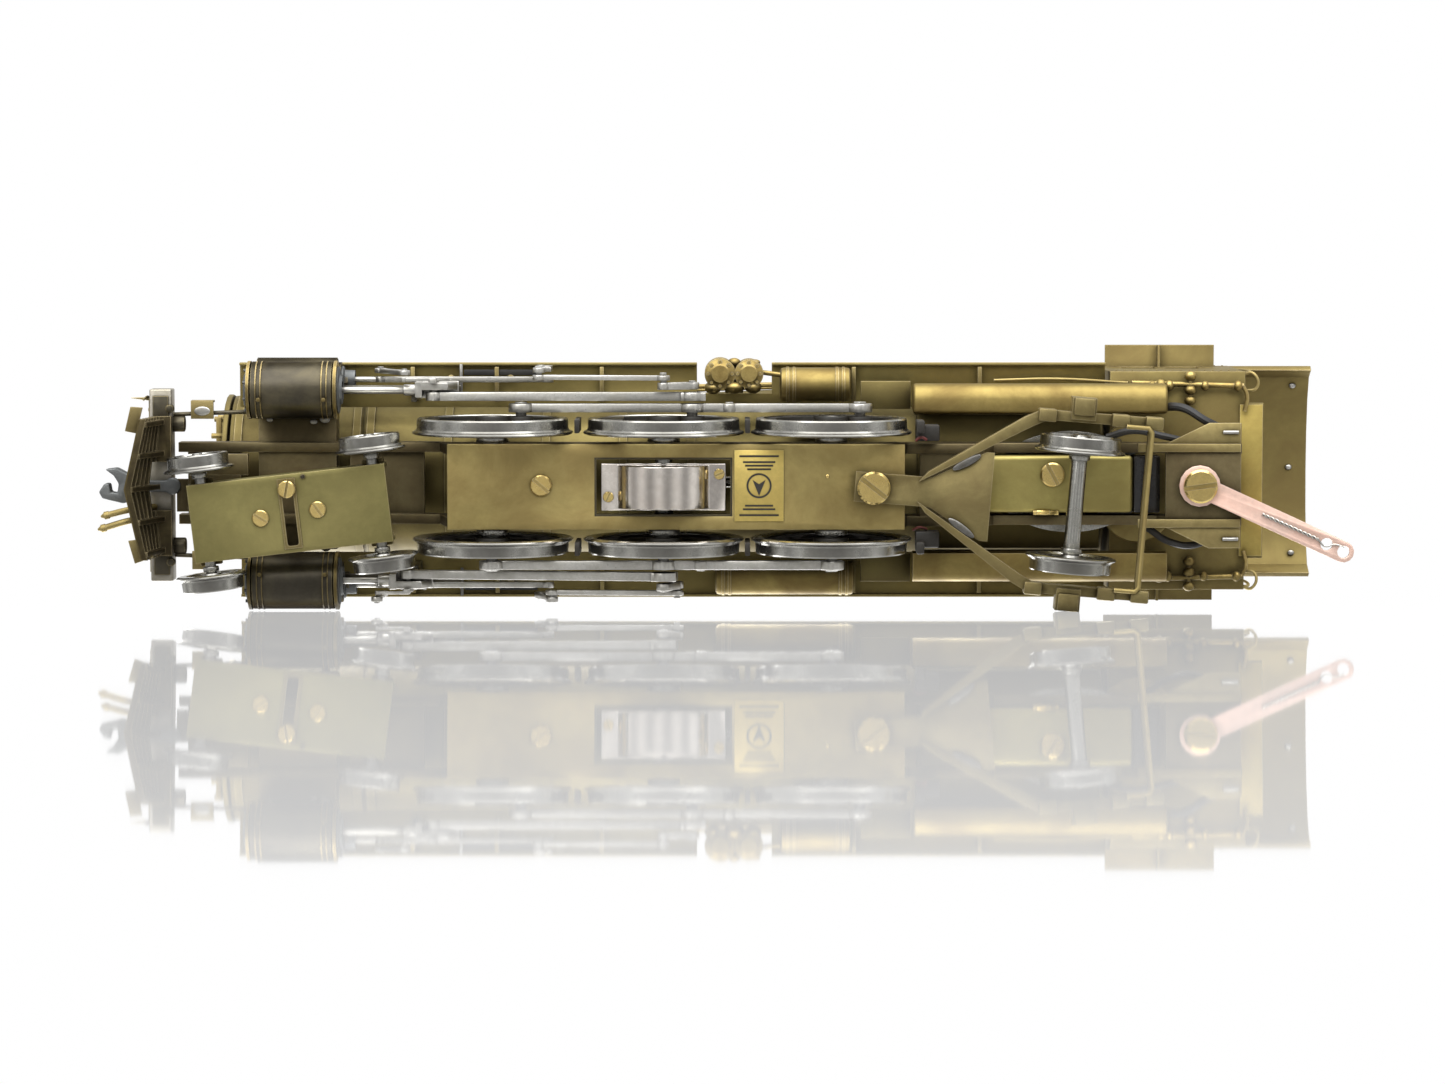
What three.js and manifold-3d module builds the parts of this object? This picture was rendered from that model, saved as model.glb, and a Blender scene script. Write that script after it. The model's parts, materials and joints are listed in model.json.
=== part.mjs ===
// A 1:87 brass model of a 4-6-2 steam locomotive, standing upright on its wheels.
// Millimetres. +X is the front of the engine, +Y its left side, +Z up.
// Heights are measured from the top of the rails, so the wheel flanges reach just below zero.

import * as THREE from "three";
import { mergeVertices } from "three/addons/utils/BufferGeometryUtils.js";
import Module from "manifold-3d";

const wasm = await Module();
wasm.setup();

// ---------------------------------------------------------------- driving dimensions

const AXLE_TO_CENTRE = 9.1; // the middle driving axle stands this far in front of the model's centre
const GAP = 0.3; // air left between pieces that lie against each other

const FLANGE_DEPTH = 0.65;
const WHEEL_BACK = 7.2; // half of the back-to-back distance
const WHEEL_WIDTH = 2.3;
const FLANGE_WIDTH = 0.7;

const DRIVER_RADIUS = 10.65; // tread radius, so it is also the height of the driving axles
const DRIVER_X = { front: 24.0, main: 0, rear: -23.5 };
const DRIVER_SEGMENTS = 24;
const SPOKES = 12;
const CRANK_THROW = 4.0;
const CRANK_PIN_RADIUS = 0.75;
const DRIVER_AXLE_RADIUS = 1.35;
const GEAR_RADIUS = 6.2;
const GEAR_WIDTH = 2.6;

// The crank angle of each side, measured from straight up towards the front.
const SIDES = {
  left: { sign: 1, crank: -Math.PI / 2, linkSwing: 0 }, // pins point to the cab
  right: { sign: -1, crank: Math.PI, linkSwing: THREE.MathUtils.degToRad(15.5) }, // pins down
};

const SIDE_ROD_Y = [10.3, 11.5];
const MAIN_ROD_Y = [11.9, 13.1];
const MAIN_ROD_LENGTH = 36.2;
const ECCENTRIC_CRANK_Y = [13.5, 14.5];
const ECCENTRIC_THROW = 1.9;
const ECCENTRIC_ROD_Y = [14.8, 15.5];
const LINK_Y = [15.8, 16.5];
const VALVE_ROD_Y = 14.6;
const LEVER_Y = [15.5, 16.2];

const CYLINDER_X = [45.7, 58.2];
const CYLINDER_Y = 13.4;
const CYLINDER_RADIUS = 4.0;
const VALVE_CHEST_Y = 14.2;
const VALVE_CHEST_RADIUS = 3.5;
const VALVE_Z = 17.8;
const LEVER_X = 40.2;
const LEVER_LENGTH = 9.2;
const LINK_X = 17.5;
const LINK_FOOT_LENGTH = 6.5; // from the trunnion down to the eccentric rod's pin

const RAIL_Y = [4.4, 5.8];
const KEEPER_Z = [7.0, 7.9];
const FRAME_LOW_Z = 8.2;

const LEAD_PIVOT = { x: 52.1, y: 0 };
const LEAD_YAW = THREE.MathUtils.degToRad(-6.5);
const LEAD_SHIFT = -3.4; // the leading truck has slid this far to the right along its slot
const LEAD_WHEEL_RADIUS = 4.3;
const LEAD_WHEELBASE = 24.0;
const LEAD_PLATE = { length: 27.6, width: 10.9, z: [2.4, 3.0] };
const LEAD_SLOT = { length: 9.2, width: 1.7 };

const TRAILING_PIVOT = { x: -29.3, y: 0 };
const TRAILING_YAW = THREE.MathUtils.degToRad(4.65);
const TRAILING_AXLE_X = -28.2; // from the pivot
const TRAILING_WHEEL_RADIUS = 5.7;
const TRAILING_SIDE_Y = 12.1;
const TRAILING_END_X = -38.6;

const DRAWBAR_PIVOT = { x: -75.1, y: 0 };
const DRAWBAR_YAW = THREE.MathUtils.degToRad(24.6);
const DRAWBAR_LENGTH = 22.2; // from the screw to the centre of the end hole
const DRAWBAR_WIDTH = 3.0;
const DRAWBAR_Z = [8.9, 9.5];

const BOILER_Z = 33.5;
const SMOKEBOX_FRONT_X = 62.4;
const BOILER_RADIUS = { smokebox: 11.6, barrel: 12.0, firebox: 12.9 };
const BACKHEAD_X = -62.8;
const BOARD_Z = [23.6, 24.2];
const BOARD_Y = [10.4, 16.8];
const BOARD_X = [60.8, -63.0];

const CAB_X = [-63.5, -82.8];
const CAB_SIDE_Y = 15.6;
const CAB_FLOOR_Z = 19.6;
const CAB_EAVES_Z = 43.0;
const CAB_WALL = 0.8;
const ROOF_END_X = -95.0;
const ROOF_TOP_Z = 48.0;
const AWNING = { x: [-64.4, -80.4], y: 18.8, z: 37.0 };

const COUPLER_PIVOT_X = 68.6;
const COUPLER_TIP_X = 79.0;
const COUPLER_Z = 9.4;

// ---------------------------------------------------------------- finishes

const finish = (color, roughness, metalness) =>
  new THREE.MeshStandardMaterial({ color, roughness, metalness });

const agedBrass = () => finish(0x7c6a3a, 0.45, 0.9);
const goldenBrass = () => finish(0x9a8040, 0.4, 0.9);
const brightBrass = () => finish(0xc9a24a, 0.3, 1.0);
const darkBrass = () => finish(0x3d3526, 0.5, 0.8);
const nickel = () => finish(0xc4c2bb, 0.28, 1.0);
const chrome = () => finish(0xd6d6d6, 0.12, 1.0);
const copper = () => finish(0xc98f76, 0.35, 1.0);
const greyCast = () => finish(0x77797a, 0.5, 0.6);

// ---------------------------------------------------------------- shape helpers

/** Turn a closed geometry into a solid that can be joined and cut. */
function solid(geometry) {
  geometry.deleteAttribute("normal");
  geometry.deleteAttribute("uv");
  const merged = mergeVertices(geometry, 1e-4);
  return new wasm.Manifold(
    new wasm.Mesh({
      numProp: 3,
      vertProperties: new Float32Array(merged.attributes.position.array),
      triVerts: new Uint32Array(merged.index.array),
    }),
  );
}

/** Turn a solid back into a geometry for a mesh. */
function geometryOf(body) {
  const mesh = body.getMesh();
  const geometry = new THREE.BufferGeometry();
  geometry.setAttribute("position", new THREE.BufferAttribute(mesh.vertProperties, 3));
  geometry.setIndex(new THREE.BufferAttribute(mesh.triVerts, 1));
  geometry.computeVertexNormals();
  return geometry;
}

/** Join solids into one. */
const join = (...bodies) => bodies.reduce((whole, body) => whole.add(body));

/** Take tools out of a body. */
const cut = (body, ...tools) => tools.reduce((rest, tool) => rest.subtract(tool), body);

const span = ([a, b]) => Math.abs(b - a);
const middle = ([a, b]) => (a + b) / 2;

/** A box between two values on each axis. */
function block(x, y, z) {
  const geometry = new THREE.BoxGeometry(span(x), span(y), span(z));
  geometry.translate(middle(x), middle(y), middle(z));
  return solid(geometry);
}

/** A round bar along X, centred on (y, z). */
function barX(x, y, z, radius, sides = 16, endRadius = radius) {
  const geometry = new THREE.CylinderGeometry(endRadius, radius, span(x), sides);
  geometry.rotateZ(-Math.PI / 2);
  geometry.translate(middle(x), y, z);
  return solid(geometry);
}

/** A round bar along Y, centred on (x, z). */
function barY(x, y, z, radius, sides = 16) {
  const geometry = new THREE.CylinderGeometry(radius, radius, span(y), sides);
  geometry.translate(x, middle(y), z);
  return solid(geometry);
}

/** A round bar along Z, centred on (x, y). */
function barZ(x, y, z, radius, sides = 16, topRadius = radius) {
  const geometry = new THREE.CylinderGeometry(topRadius, radius, span(z), sides);
  geometry.rotateX(Math.PI / 2);
  geometry.translate(x, y, middle(z));
  return solid(geometry);
}

/** A flat plate in the XY plane, from [x, y] corner points. */
function plateXY(points, z) {
  const shape = new THREE.Shape(points.map(([x, y]) => new THREE.Vector2(x, y)));
  const geometry = new THREE.ExtrudeGeometry(shape, { depth: span(z), bevelEnabled: false });
  geometry.translate(0, 0, Math.min(...z));
  return solid(geometry);
}

/** A flat plate in the XZ plane, from [x, z] corner points. */
function plateXZ(points, y) {
  const shape = new THREE.Shape(points.map(([x, z]) => new THREE.Vector2(x, z)));
  const geometry = new THREE.ExtrudeGeometry(shape, { depth: span(y), bevelEnabled: false });
  geometry.rotateX(Math.PI / 2);
  geometry.translate(0, Math.max(...y), 0);
  return solid(geometry);
}

/** A flat plate in the YZ plane, from [y, z] corner points. */
function plateYZ(points, x) {
  const shape = new THREE.Shape(points.map(([y, z]) => new THREE.Vector2(y, z)));
  const geometry = new THREE.ExtrudeGeometry(shape, { depth: span(x), bevelEnabled: false });
  geometry.rotateX(Math.PI / 2);
  geometry.rotateZ(Math.PI / 2);
  geometry.translate(Math.min(...x), 0, 0);
  return solid(geometry);
}

/** A ring or turned shape about the Y axis, from a closed list of [radius, y] points. */
function turnedY(profile, segments) {
  const points = profile.map(([radius, y]) => new THREE.Vector2(radius, y));
  points.push(points[0].clone());
  return solid(new THREE.LatheGeometry(points, segments));
}

/** A turned shape about a line along Z, from [radius, z] points that start and end on the axis. */
function turnedZ(profile, x, y, segments) {
  const points = profile.map(([radius, z]) => new THREE.Vector2(radius, z));
  const geometry = new THREE.LatheGeometry(points, segments);
  geometry.rotateX(Math.PI / 2);
  geometry.translate(x, y, 0);
  return solid(geometry);
}

/** A turned shape about a line along X at height z, from [radius, x] points off the axis. */
function turnedX(profile, z, segments) {
  const points = profile.map(([radius, x]) => new THREE.Vector2(radius, x));
  const geometry = new THREE.LatheGeometry(points, segments);
  geometry.rotateZ(-Math.PI / 2);
  geometry.translate(0, 0, z);
  return solid(geometry);
}

/** A straight strap in the XZ plane with a round eye at each end. */
function strap(from, to, y, width, eyeRadius, sides = 10) {
  const length = Math.hypot(to.x - from.x, to.z - from.z);
  const geometry = new THREE.BoxGeometry(length, span(y), width);
  geometry.rotateY(-Math.atan2(to.z - from.z, to.x - from.x));
  geometry.translate((from.x + to.x) / 2, middle(y), (from.z + to.z) / 2);
  return join(
    solid(geometry),
    barY(from.x, y, from.z, eyeRadius, sides),
    barY(to.x, y, to.z, eyeRadius, sides),
  );
}

/** A pair of values on one side of the engine: the right side mirrors the left. */
const onSide = (side, [inner, outer]) =>
  side.sign > 0 ? [inner, outer] : [-outer, -inner];

/** Where the crank pin of a side stands from its axle. */
const crankPin = (side) => ({
  x: CRANK_THROW * Math.sin(side.crank),
  z: CRANK_THROW * Math.cos(side.crank),
});

// ---------------------------------------------------------------- the scene graph

const locomotive = new THREE.Group();
locomotive.name = "model_steam_locomotive";

const engine = new THREE.Group();
engine.position.x = AXLE_TO_CENTRE;
locomotive.add(engine);

/** Add one named sub-part to a group. */
function add(group, name, body, material, position = [0, 0, 0]) {
  const mesh = new THREE.Mesh(geometryOf(body), material);
  mesh.name = name;
  mesh.position.set(...position);
  group.add(mesh);
  return mesh;
}

// ---------------------------------------------------------------- wheels

/** One plain wheel on the left half of an axle, turned about Y: flange inside, tread outside. */
function discWheel(radius, segments) {
  const face = WHEEL_BACK + WHEEL_WIDTH;
  const rim = radius - 0.9;
  return turnedY(
    [
      [0.3, WHEEL_BACK],
      [radius + FLANGE_DEPTH, WHEEL_BACK],
      [radius + FLANGE_DEPTH, WHEEL_BACK + FLANGE_WIDTH - 0.3],
      [radius, WHEEL_BACK + FLANGE_WIDTH],
      [radius, face],
      [rim, face],
      [rim - 0.3, face - 0.5],
      [0.3, face - 0.5],
    ],
    segments,
  );
}

/** Two plain wheels and their axle as one pressed wheelset. */
function wheelset(radius, axleRadius, segments, axleHalfLength) {
  const left = discWheel(radius, segments);
  const right = left.mirror([0, 1, 0]);
  return join(left, right, barY(0, [-axleHalfLength, axleHalfLength], 0, axleRadius, 10));
}

/** The spoked driving wheel of one side, centred on its axle. */
function drivingWheel(side, balance) {
  const back = WHEEL_BACK;
  const face = WHEEL_BACK + WHEEL_WIDTH;
  const rimRadius = DRIVER_RADIUS - 1.6;
  const hubRadius = 2.7;
  const tyre = turnedY(
    [
      [rimRadius, back + 0.2],
      [DRIVER_RADIUS + FLANGE_DEPTH, back],
      [DRIVER_RADIUS + FLANGE_DEPTH, back + FLANGE_WIDTH - 0.3],
      [DRIVER_RADIUS, back + FLANGE_WIDTH],
      [DRIVER_RADIUS, face],
      [rimRadius, face],
    ],
    DRIVER_SEGMENTS,
  );
  const centre = new THREE.Shape();
  centre.absarc(0, 0, rimRadius + 0.2, 0, 2 * Math.PI);
  const pitch = (2 * Math.PI) / SPOKES;
  const crankDirection = Math.PI / 2 - side.crank * side.sign;
  for (let i = 0; i < SPOKES; i += 1) {
    const angle = crankDirection + (i + 0.5) * pitch;
    const away = Math.abs(i + 0.5 - SPOKES / 2);
    const filled = away < balance;
    if (!filled) {
      const innerHalf = pitch / 2 - 0.16;
      const outerHalf = pitch / 2 - 0.06;
      const hole = new THREE.Path();
      hole.moveTo(3.1 * Math.cos(angle - innerHalf), 3.1 * Math.sin(angle - innerHalf));
      hole.lineTo(3.1 * Math.cos(angle + innerHalf), 3.1 * Math.sin(angle + innerHalf));
      hole.lineTo(8.7 * Math.cos(angle + outerHalf), 8.7 * Math.sin(angle + outerHalf));
      hole.lineTo(8.7 * Math.cos(angle - outerHalf), 8.7 * Math.sin(angle - outerHalf));
      centre.holes.push(hole);
    }
  }
  const web = new THREE.ExtrudeGeometry(centre, {
    depth: 1.2,
    bevelEnabled: false,
    curveSegments: DRIVER_SEGMENTS / 2,
  });
  web.rotateX(Math.PI / 2);
  web.translate(0, face - 0.4, 0);
  const wheel = cut(
    join(
      tyre,
      solid(web),
      barY(0, [back, face + 0.2], 0, hubRadius, 12),
      barY(
        CRANK_THROW * Math.cos(crankDirection),
        [back + 0.6, face + 0.2],
        CRANK_THROW * Math.sin(crankDirection),
        1.9,
        12,
      ),
    ),
    barY(0, [back - 1, face + 1], 0, DRIVER_AXLE_RADIUS + GAP, 12),
  );
  return side.sign > 0 ? wheel : wheel.mirror([0, 1, 0]);
}

/** The crank pin of one side, from the wheel's boss outwards. */
function pin(side, reach) {
  const at = crankPin(side);
  const y = onSide(side, [WHEEL_BACK + 1, reach]);
  return barY(at.x, y, at.z, CRANK_PIN_RADIUS, 10);
}

for (const [place, x] of Object.entries(DRIVER_X)) {
  const at = [x, 0, DRIVER_RADIUS];
  const halfLength = WHEEL_BACK + WHEEL_WIDTH;
  const bar = barY(0, [-halfLength, halfLength], 0, DRIVER_AXLE_RADIUS, 12);
  const gear = barY(0, [-GEAR_WIDTH / 2, GEAR_WIDTH / 2], 0, GEAR_RADIUS, 20);
  add(engine, `driver_axle_${place}`, place === "main" ? join(bar, gear) : bar, nickel(), at);
  for (const [name, side] of Object.entries(SIDES)) {
    const balance = place === "main" ? 2.2 : 1.2;
    const wheel = join(drivingWheel(side, balance), pin(side, SIDE_ROD_Y[1] - 0.1));
    add(engine, `driver_wheel_${place}_${name}`, wheel, nickel(), at);
  }
}

// ---------------------------------------------------------------- rods and valve gear

/** The coupling rod of one side, with an eye around each crank pin. */
function sideRod(side) {
  const y = onSide(side, SIDE_ROD_Y);
  const xs = Object.values(DRIVER_X);
  const bar = block([xs[0], xs[2]], y, [-0.75, 0.75]);
  const eyes = xs.map((x) => barY(x, y, 0, 1.75, 12));
  const knuckle = barY(xs[2] + 16.5, y, 0, 1.1, 10);
  const bores = xs.map((x) => barY(x, [y[0] - 1, y[1] + 1], 0, CRANK_PIN_RADIUS + GAP, 10));
  return cut(join(bar, ...eyes, knuckle), ...bores);
}

/** Where the crosshead pin of one side stands along the engine. */
function wristX(side) {
  const at = crankPin(side);
  return at.x + Math.sqrt(MAIN_ROD_LENGTH ** 2 - at.z ** 2);
}

/** The connecting rod of one side, with its origin on the crosshead pin. */
function mainRod(side) {
  const at = crankPin(side);
  const y = onSide(side, MAIN_ROD_Y);
  const bigEnd = { x: at.x - wristX(side), z: at.z };
  const rod = strap({ x: 0, z: 0 }, bigEnd, y, 1.5, 1.15);
  const boss = barY(bigEnd.x, y, bigEnd.z, 1.8, 12);
  return cut(join(rod, boss), barY(0, [y[0] - 1, y[1] + 1], 0, 0.5 + GAP, 10));
}

/** The crosshead of one side with its piston rod and union link, around the crosshead pin. */
function crosshead(side) {
  const outer = [MAIN_ROD_Y[1] + GAP, 14.6];
  const cheek = block([-3.4, 2.6], onSide(side, outer), [-1.2, 2.35]);
  const slipper = block([-3.4, 2.6], onSide(side, [12.2, 14.6]), [1.5, 2.35]);
  const nose = block([1.6, 2.6], onSide(side, [12.4, 14.6]), [-1.0, 2.35]);
  const wrist = barY(0, onSide(side, [MAIN_ROD_Y[0], outer[0] + 0.2]), 0, 0.5, 8);
  const piston = barX([2.2, 17], side.sign * CYLINDER_Y, 0, 0.45, 8);
  const arm = block([-0.5, 0.5], onSide(side, [14.3, 15.2]), [-2.4, 0.6]);
  const union = block([-0.4, 4.5], onSide(side, [14.7, 15.2]), [-2.4, -1.7]);
  return join(cheek, slipper, nose, wrist, piston, arm, union);
}

/** Where the eccentric pin of a side stands from the main axle: a quarter turn from the crank. */
const eccentricPin = (side) =>
  side.sign > 0 ? { x: 0, z: -ECCENTRIC_THROW } : { x: -ECCENTRIC_THROW, z: 0 };

/** Where the foot of the expansion link stands from its trunnion. */
const linkFoot = (side) => ({
  x: -LINK_FOOT_LENGTH * Math.sin(side.linkSwing),
  z: -LINK_FOOT_LENGTH * Math.cos(side.linkSwing),
});

/** The return crank that drives the valve gear, centred on the main axle. */
function eccentricCrank(side) {
  const y = onSide(side, ECCENTRIC_CRANK_Y);
  return strap(crankPin(side), eccentricPin(side), y, 1.3, 1.0);
}

/** The eccentric rod of one side, with its origin on the foot of the expansion link. */
function eccentricRod(side) {
  const foot = linkFoot(side);
  const eccentric = {
    x: eccentricPin(side).x - LINK_X - foot.x,
    z: eccentricPin(side).z + DRIVER_RADIUS - VALVE_Z - foot.z,
  };
  return strap({ x: 0, z: 0 }, eccentric, onSide(side, ECCENTRIC_ROD_Y), 0.9, 0.95);
}

/** The curved expansion link of one side, with its origin on its trunnion. */
function expansionLink(side) {
  const y = onSide(side, LINK_Y);
  const outline = [];
  const steps = 6;
  const bow = 0.9;
  for (let i = 0; i <= steps; i += 1) {
    const t = i / steps;
    outline.push([0.9 + bow * (1 - (2 * t - 1) ** 2) - bow, -3.2 + 6.4 * t]);
  }
  for (let i = steps; i >= 0; i -= 1) {
    const t = i / steps;
    outline.push([-0.9 + bow * (1 - (2 * t - 1) ** 2) - bow, -3.2 + 6.4 * t]);
  }
  const tail = block([-0.6, 0.4], y, [-LINK_FOOT_LENGTH, -2.6]);
  return join(plateXZ(outline, y), tail, barY(0, y, -LINK_FOOT_LENGTH, 0.9, 10));
}

/** The combination lever of one side, hanging from the valve rod. */
function combinationLever(side) {
  const swing = Math.asin(Math.max(-1, crankPin(side).x / LEVER_LENGTH));
  const foot = { x: LEVER_LENGTH * Math.sin(swing), z: -LEVER_LENGTH * Math.cos(swing) };
  return strap({ x: 0, z: 0 }, foot, onSide(side, LEVER_Y), 0.9, 0.85);
}

/** The radius rod and valve stem of one side, from the link into the valve chest. */
function valveRod(side) {
  const y = onSide(side, [VALVE_ROD_Y - 0.4, VALVE_ROD_Y + 0.4]);
  const bar = block([LINK_X - 1, LEVER_X], y, [-0.45, 0.45]);
  const fork = barY(LINK_X - 1, y, 0, 0.9, 10);
  const head = barY(LEVER_X, y, 0, 0.8, 10);
  const stem = barX([LEVER_X, CYLINDER_X[0] + 4], side.sign * VALVE_ROD_Y, 0, 0.4, 8);
  return join(bar, fork, head, stem);
}

for (const [name, side] of Object.entries(SIDES)) {
  const at = crankPin(side);
  const axleZ = DRIVER_RADIUS;
  const rodZ = axleZ + at.z;
  const foot = [LINK_X + linkFoot(side).x, 0, VALVE_Z + linkFoot(side).z];
  add(engine, `side_rod_${name}`, sideRod(side), nickel(), [at.x, 0, rodZ]);
  add(engine, `main_rod_${name}`, mainRod(side), nickel(), [wristX(side), 0, axleZ]);
  add(engine, `crosshead_${name}`, crosshead(side), nickel(), [wristX(side), 0, axleZ]);
  add(engine, `eccentric_crank_${name}`, eccentricCrank(side), nickel(), [0, 0, axleZ]);
  add(engine, `eccentric_rod_${name}`, eccentricRod(side), nickel(), foot);
  const linkAt = [LINK_X, 0, VALVE_Z];
  const link = add(engine, `expansion_link_${name}`, expansionLink(side), nickel(), linkAt);
  link.rotation.y = side.linkSwing;
  add(engine, `combination_lever_${name}`, combinationLever(side), nickel(), [LEVER_X, 0, VALVE_Z]);
  add(engine, `valve_rod_${name}`, valveRod(side), nickel(), [0, 0, VALVE_Z]);
}

/** One cylinder casting: the steam cylinder below, the valve chest above. */
function cylinder(side) {
  const y = side.sign * CYLINDER_Y;
  const chestY = side.sign * VALVE_CHEST_Y;
  const z = DRIVER_RADIUS;
  const cover = 0.6;
  const long = [CYLINDER_X[0] + cover, CYLINDER_X[1] - cover];
  const body = join(
    barX(long, y, z, CYLINDER_RADIUS, 20),
    barX(long, chestY, VALVE_Z, VALVE_CHEST_RADIUS, 16),
    block(long, onSide(side, [9.9, 17.2]), [z, VALVE_Z]),
    barX(CYLINDER_X, y, z, CYLINDER_RADIUS - 0.6, 16),
    barX(CYLINDER_X, chestY, VALVE_Z, VALVE_CHEST_RADIUS - 0.6, 14),
    barX([CYLINDER_X[0] - 0.9, CYLINDER_X[0] + 1], chestY, VALVE_Z, 1.5, 12),
  );
  return cut(
    body,
    barX([CYLINDER_X[0] - 1, CYLINDER_X[1] - 0.4], y, z, 0.45 + GAP, 8),
    barX([CYLINDER_X[0] - 3, CYLINDER_X[0] + 8], side.sign * VALVE_ROD_Y, VALVE_Z, 0.4 + GAP, 8),
  );
}

/** The guide bar of one side, with the yoke that hangs it from the running board. */
function crossheadGuide(side) {
  const y = onSide(side, [12.7, 13.9]);
  const bar = block([28.6, CYLINDER_X[0] - GAP], y, [13.3, 14.4]);
  const yoke = block([34.8, 35.6], onSide(side, [11.6, 13.9]), [14.0, BOARD_Z[0] - GAP]);
  return join(bar, yoke);
}

for (const [name, side] of Object.entries(SIDES)) {
  add(engine, `cylinder_${name}`, cylinder(side), darkBrass());
  add(engine, `crosshead_guide_${name}`, crossheadGuide(side), nickel());
}

// ---------------------------------------------------------------- frame

const FRAME_END = { front: 68.7, rear: -81.2 };
const MAIN_TOP_Z = 17.0;
const FRONT_RAIL_Z = [15.6, 18.6];
const ARCH_X = [-69.5, -46.5];
const ARCH_Z = 13.7;
const REAR_LOW_Z = 11.2;
const KEEPER_X = [30.2, -33.7];

/** The outline of one frame bar, seen from the side. */
const railOutline = [
  [FRAME_END.front, FRONT_RAIL_Z[0]],
  [FRAME_END.front, FRONT_RAIL_Z[1]],
  [33.0, FRONT_RAIL_Z[1]],
  [30.0, MAIN_TOP_Z],
  [FRAME_END.rear, MAIN_TOP_Z],
  [FRAME_END.rear, REAR_LOW_Z],
  [ARCH_X[0] - 1.5, REAR_LOW_Z],
  [ARCH_X[0], ARCH_Z],
  [ARCH_X[1], ARCH_Z],
  [ARCH_X[1] + 1.5, REAR_LOW_Z],
  [KEEPER_X[1] - 0.5, REAR_LOW_Z],
  [KEEPER_X[1], FRAME_LOW_Z],
  [KEEPER_X[0], FRAME_LOW_Z],
  [KEEPER_X[0] + 1.5, FRONT_RAIL_Z[0]],
];

/** Both frame bars, their spacers and the saddle that carries the smokebox. */
function mainFrame() {
  const rails = Object.values(SIDES).map((side) => plateXZ(railOutline, onSide(side, RAIL_Y)));
  const inside = [-RAIL_Y[0] - 0.5, RAIL_Y[0] + 0.5];
  const spacers = [
    block([60.0, 67.5], inside, [16.6, 17.6]),
    block([34.0, 44.5], inside, [16.6, 17.6]),
    block([11.2, 14.2], inside, [13.6, 16.0]),
    block([-13.5, -10.5], inside, [13.6, 16.0]),
    block([-44.5, -36.0], inside, [REAR_LOW_Z + 0.3, REAR_LOW_Z + 1.1]),
    block([-81.0, -71.5], inside, [14.6, 15.4]),
  ];
  const saddle = block([46.4, 57.4], [-9.4, 9.4], [16.2, 21.2]);
  const axleSlots = Object.values(DRIVER_X).map((x) =>
    block([x - 1.8, x + 1.8], [-RAIL_Y[1] - 1, RAIL_Y[1] + 1], [FRAME_LOW_Z - 1, 12.6]),
  );
  return cut(join(...rails, ...spacers, saddle), ...axleSlots);
}

add(engine, "main_frame", mainFrame(), agedBrass());

const KEEPER_HALF_WIDTH = 6.0;
const GEAR_OPENING = { x: [-9.6, 9.6], y: [-4.1, 4.1] };

/** The plate under the driving axles, open in the middle for the gear case. */
function keeperPlate() {
  const plate = block(KEEPER_X, [-KEEPER_HALF_WIDTH, KEEPER_HALF_WIDTH], KEEPER_Z);
  return cut(plate, block(GEAR_OPENING.x, GEAR_OPENING.y, [KEEPER_Z[0] - 1, KEEPER_Z[1] + 1]));
}

/** The plated pan that covers the axle gear, on its screwed flange. */
function gearCover() {
  const outerRadius = GEAR_RADIUS + 1.1;
  const innerRadius = GEAR_RADIUS + 0.6;
  const flangeZ = [KEEPER_Z[0] + 0.1, KEEPER_Z[0] + 0.5];
  const flange = block([-8.7, 8.7], [-3.3, 3.3], flangeZ);
  const drum = barY(0, [-3.0, 3.0], DRIVER_RADIUS, outerRadius, 28);
  const above = block([-12, 12], [-4, 4], [flangeZ[1], 22]);
  const inside = barY(0, [-2.5, 2.5], DRIVER_RADIUS, innerRadius, 28);
  return cut(join(flange, drum), above, inside);
}

add(engine, "keeper_plate", keeperPlate(), goldenBrass());
add(engine, "gear_cover", gearCover(), chrome());

/** The plate between the frame bars that takes the drawbar screw, with a gusset to each side. */
function rearFramePlate() {
  return plateXY(
    [
      [-70.4, -4.6],
      [-73.0, -5.9],
      [-81.0, -8.8],
      [-81.0, 8.8],
      [-73.0, 5.9],
      [-70.4, 4.6],
    ],
    [10.2, 10.9],
  );
}

add(engine, "rear_frame_plate", rearFramePlate(), agedBrass());

// ---------------------------------------------------------------- motor and drive

const MOTOR_X = [-70.0, -46.2];
const MOTOR_Z = [12.6, 20.2];
const WORM_Z = DRIVER_RADIUS + GEAR_RADIUS + 1.7;

/** The open-frame motor between the frame bars. */
function motor() {
  const y = [-RAIL_Y[0] + GAP, RAIL_Y[0] - GAP];
  const magnet = block([MOTOR_X[0], MOTOR_X[0] + 5.2], y, MOTOR_Z);
  const coil = block([MOTOR_X[0] + 5.0, MOTOR_X[1]], [-3.7, 3.7], [MOTOR_Z[0] + 0.3, MOTOR_Z[1] - 0.5]);
  const bearing = barX([MOTOR_X[1] - 0.5, MOTOR_X[1] + 1.4], 0, WORM_Z, 1.3, 14);
  return join(magnet, coil, bearing);
}

/** The armature shaft in front of the motor, ending in the worm above the axle gear. */
function wormShaft() {
  const shaft = barX([MOTOR_X[1] + 1.4 + GAP, 5.5], 0, 0, 0.6, 12);
  return join(shaft, barX([-3.6, 3.6], 0, 0, 1.4, 16));
}

add(engine, "motor", motor(), goldenBrass());
add(engine, "worm_shaft", wormShaft(), nickel(), [0, 0, WORM_Z]);

// ---------------------------------------------------------------- boiler and its fittings

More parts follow.
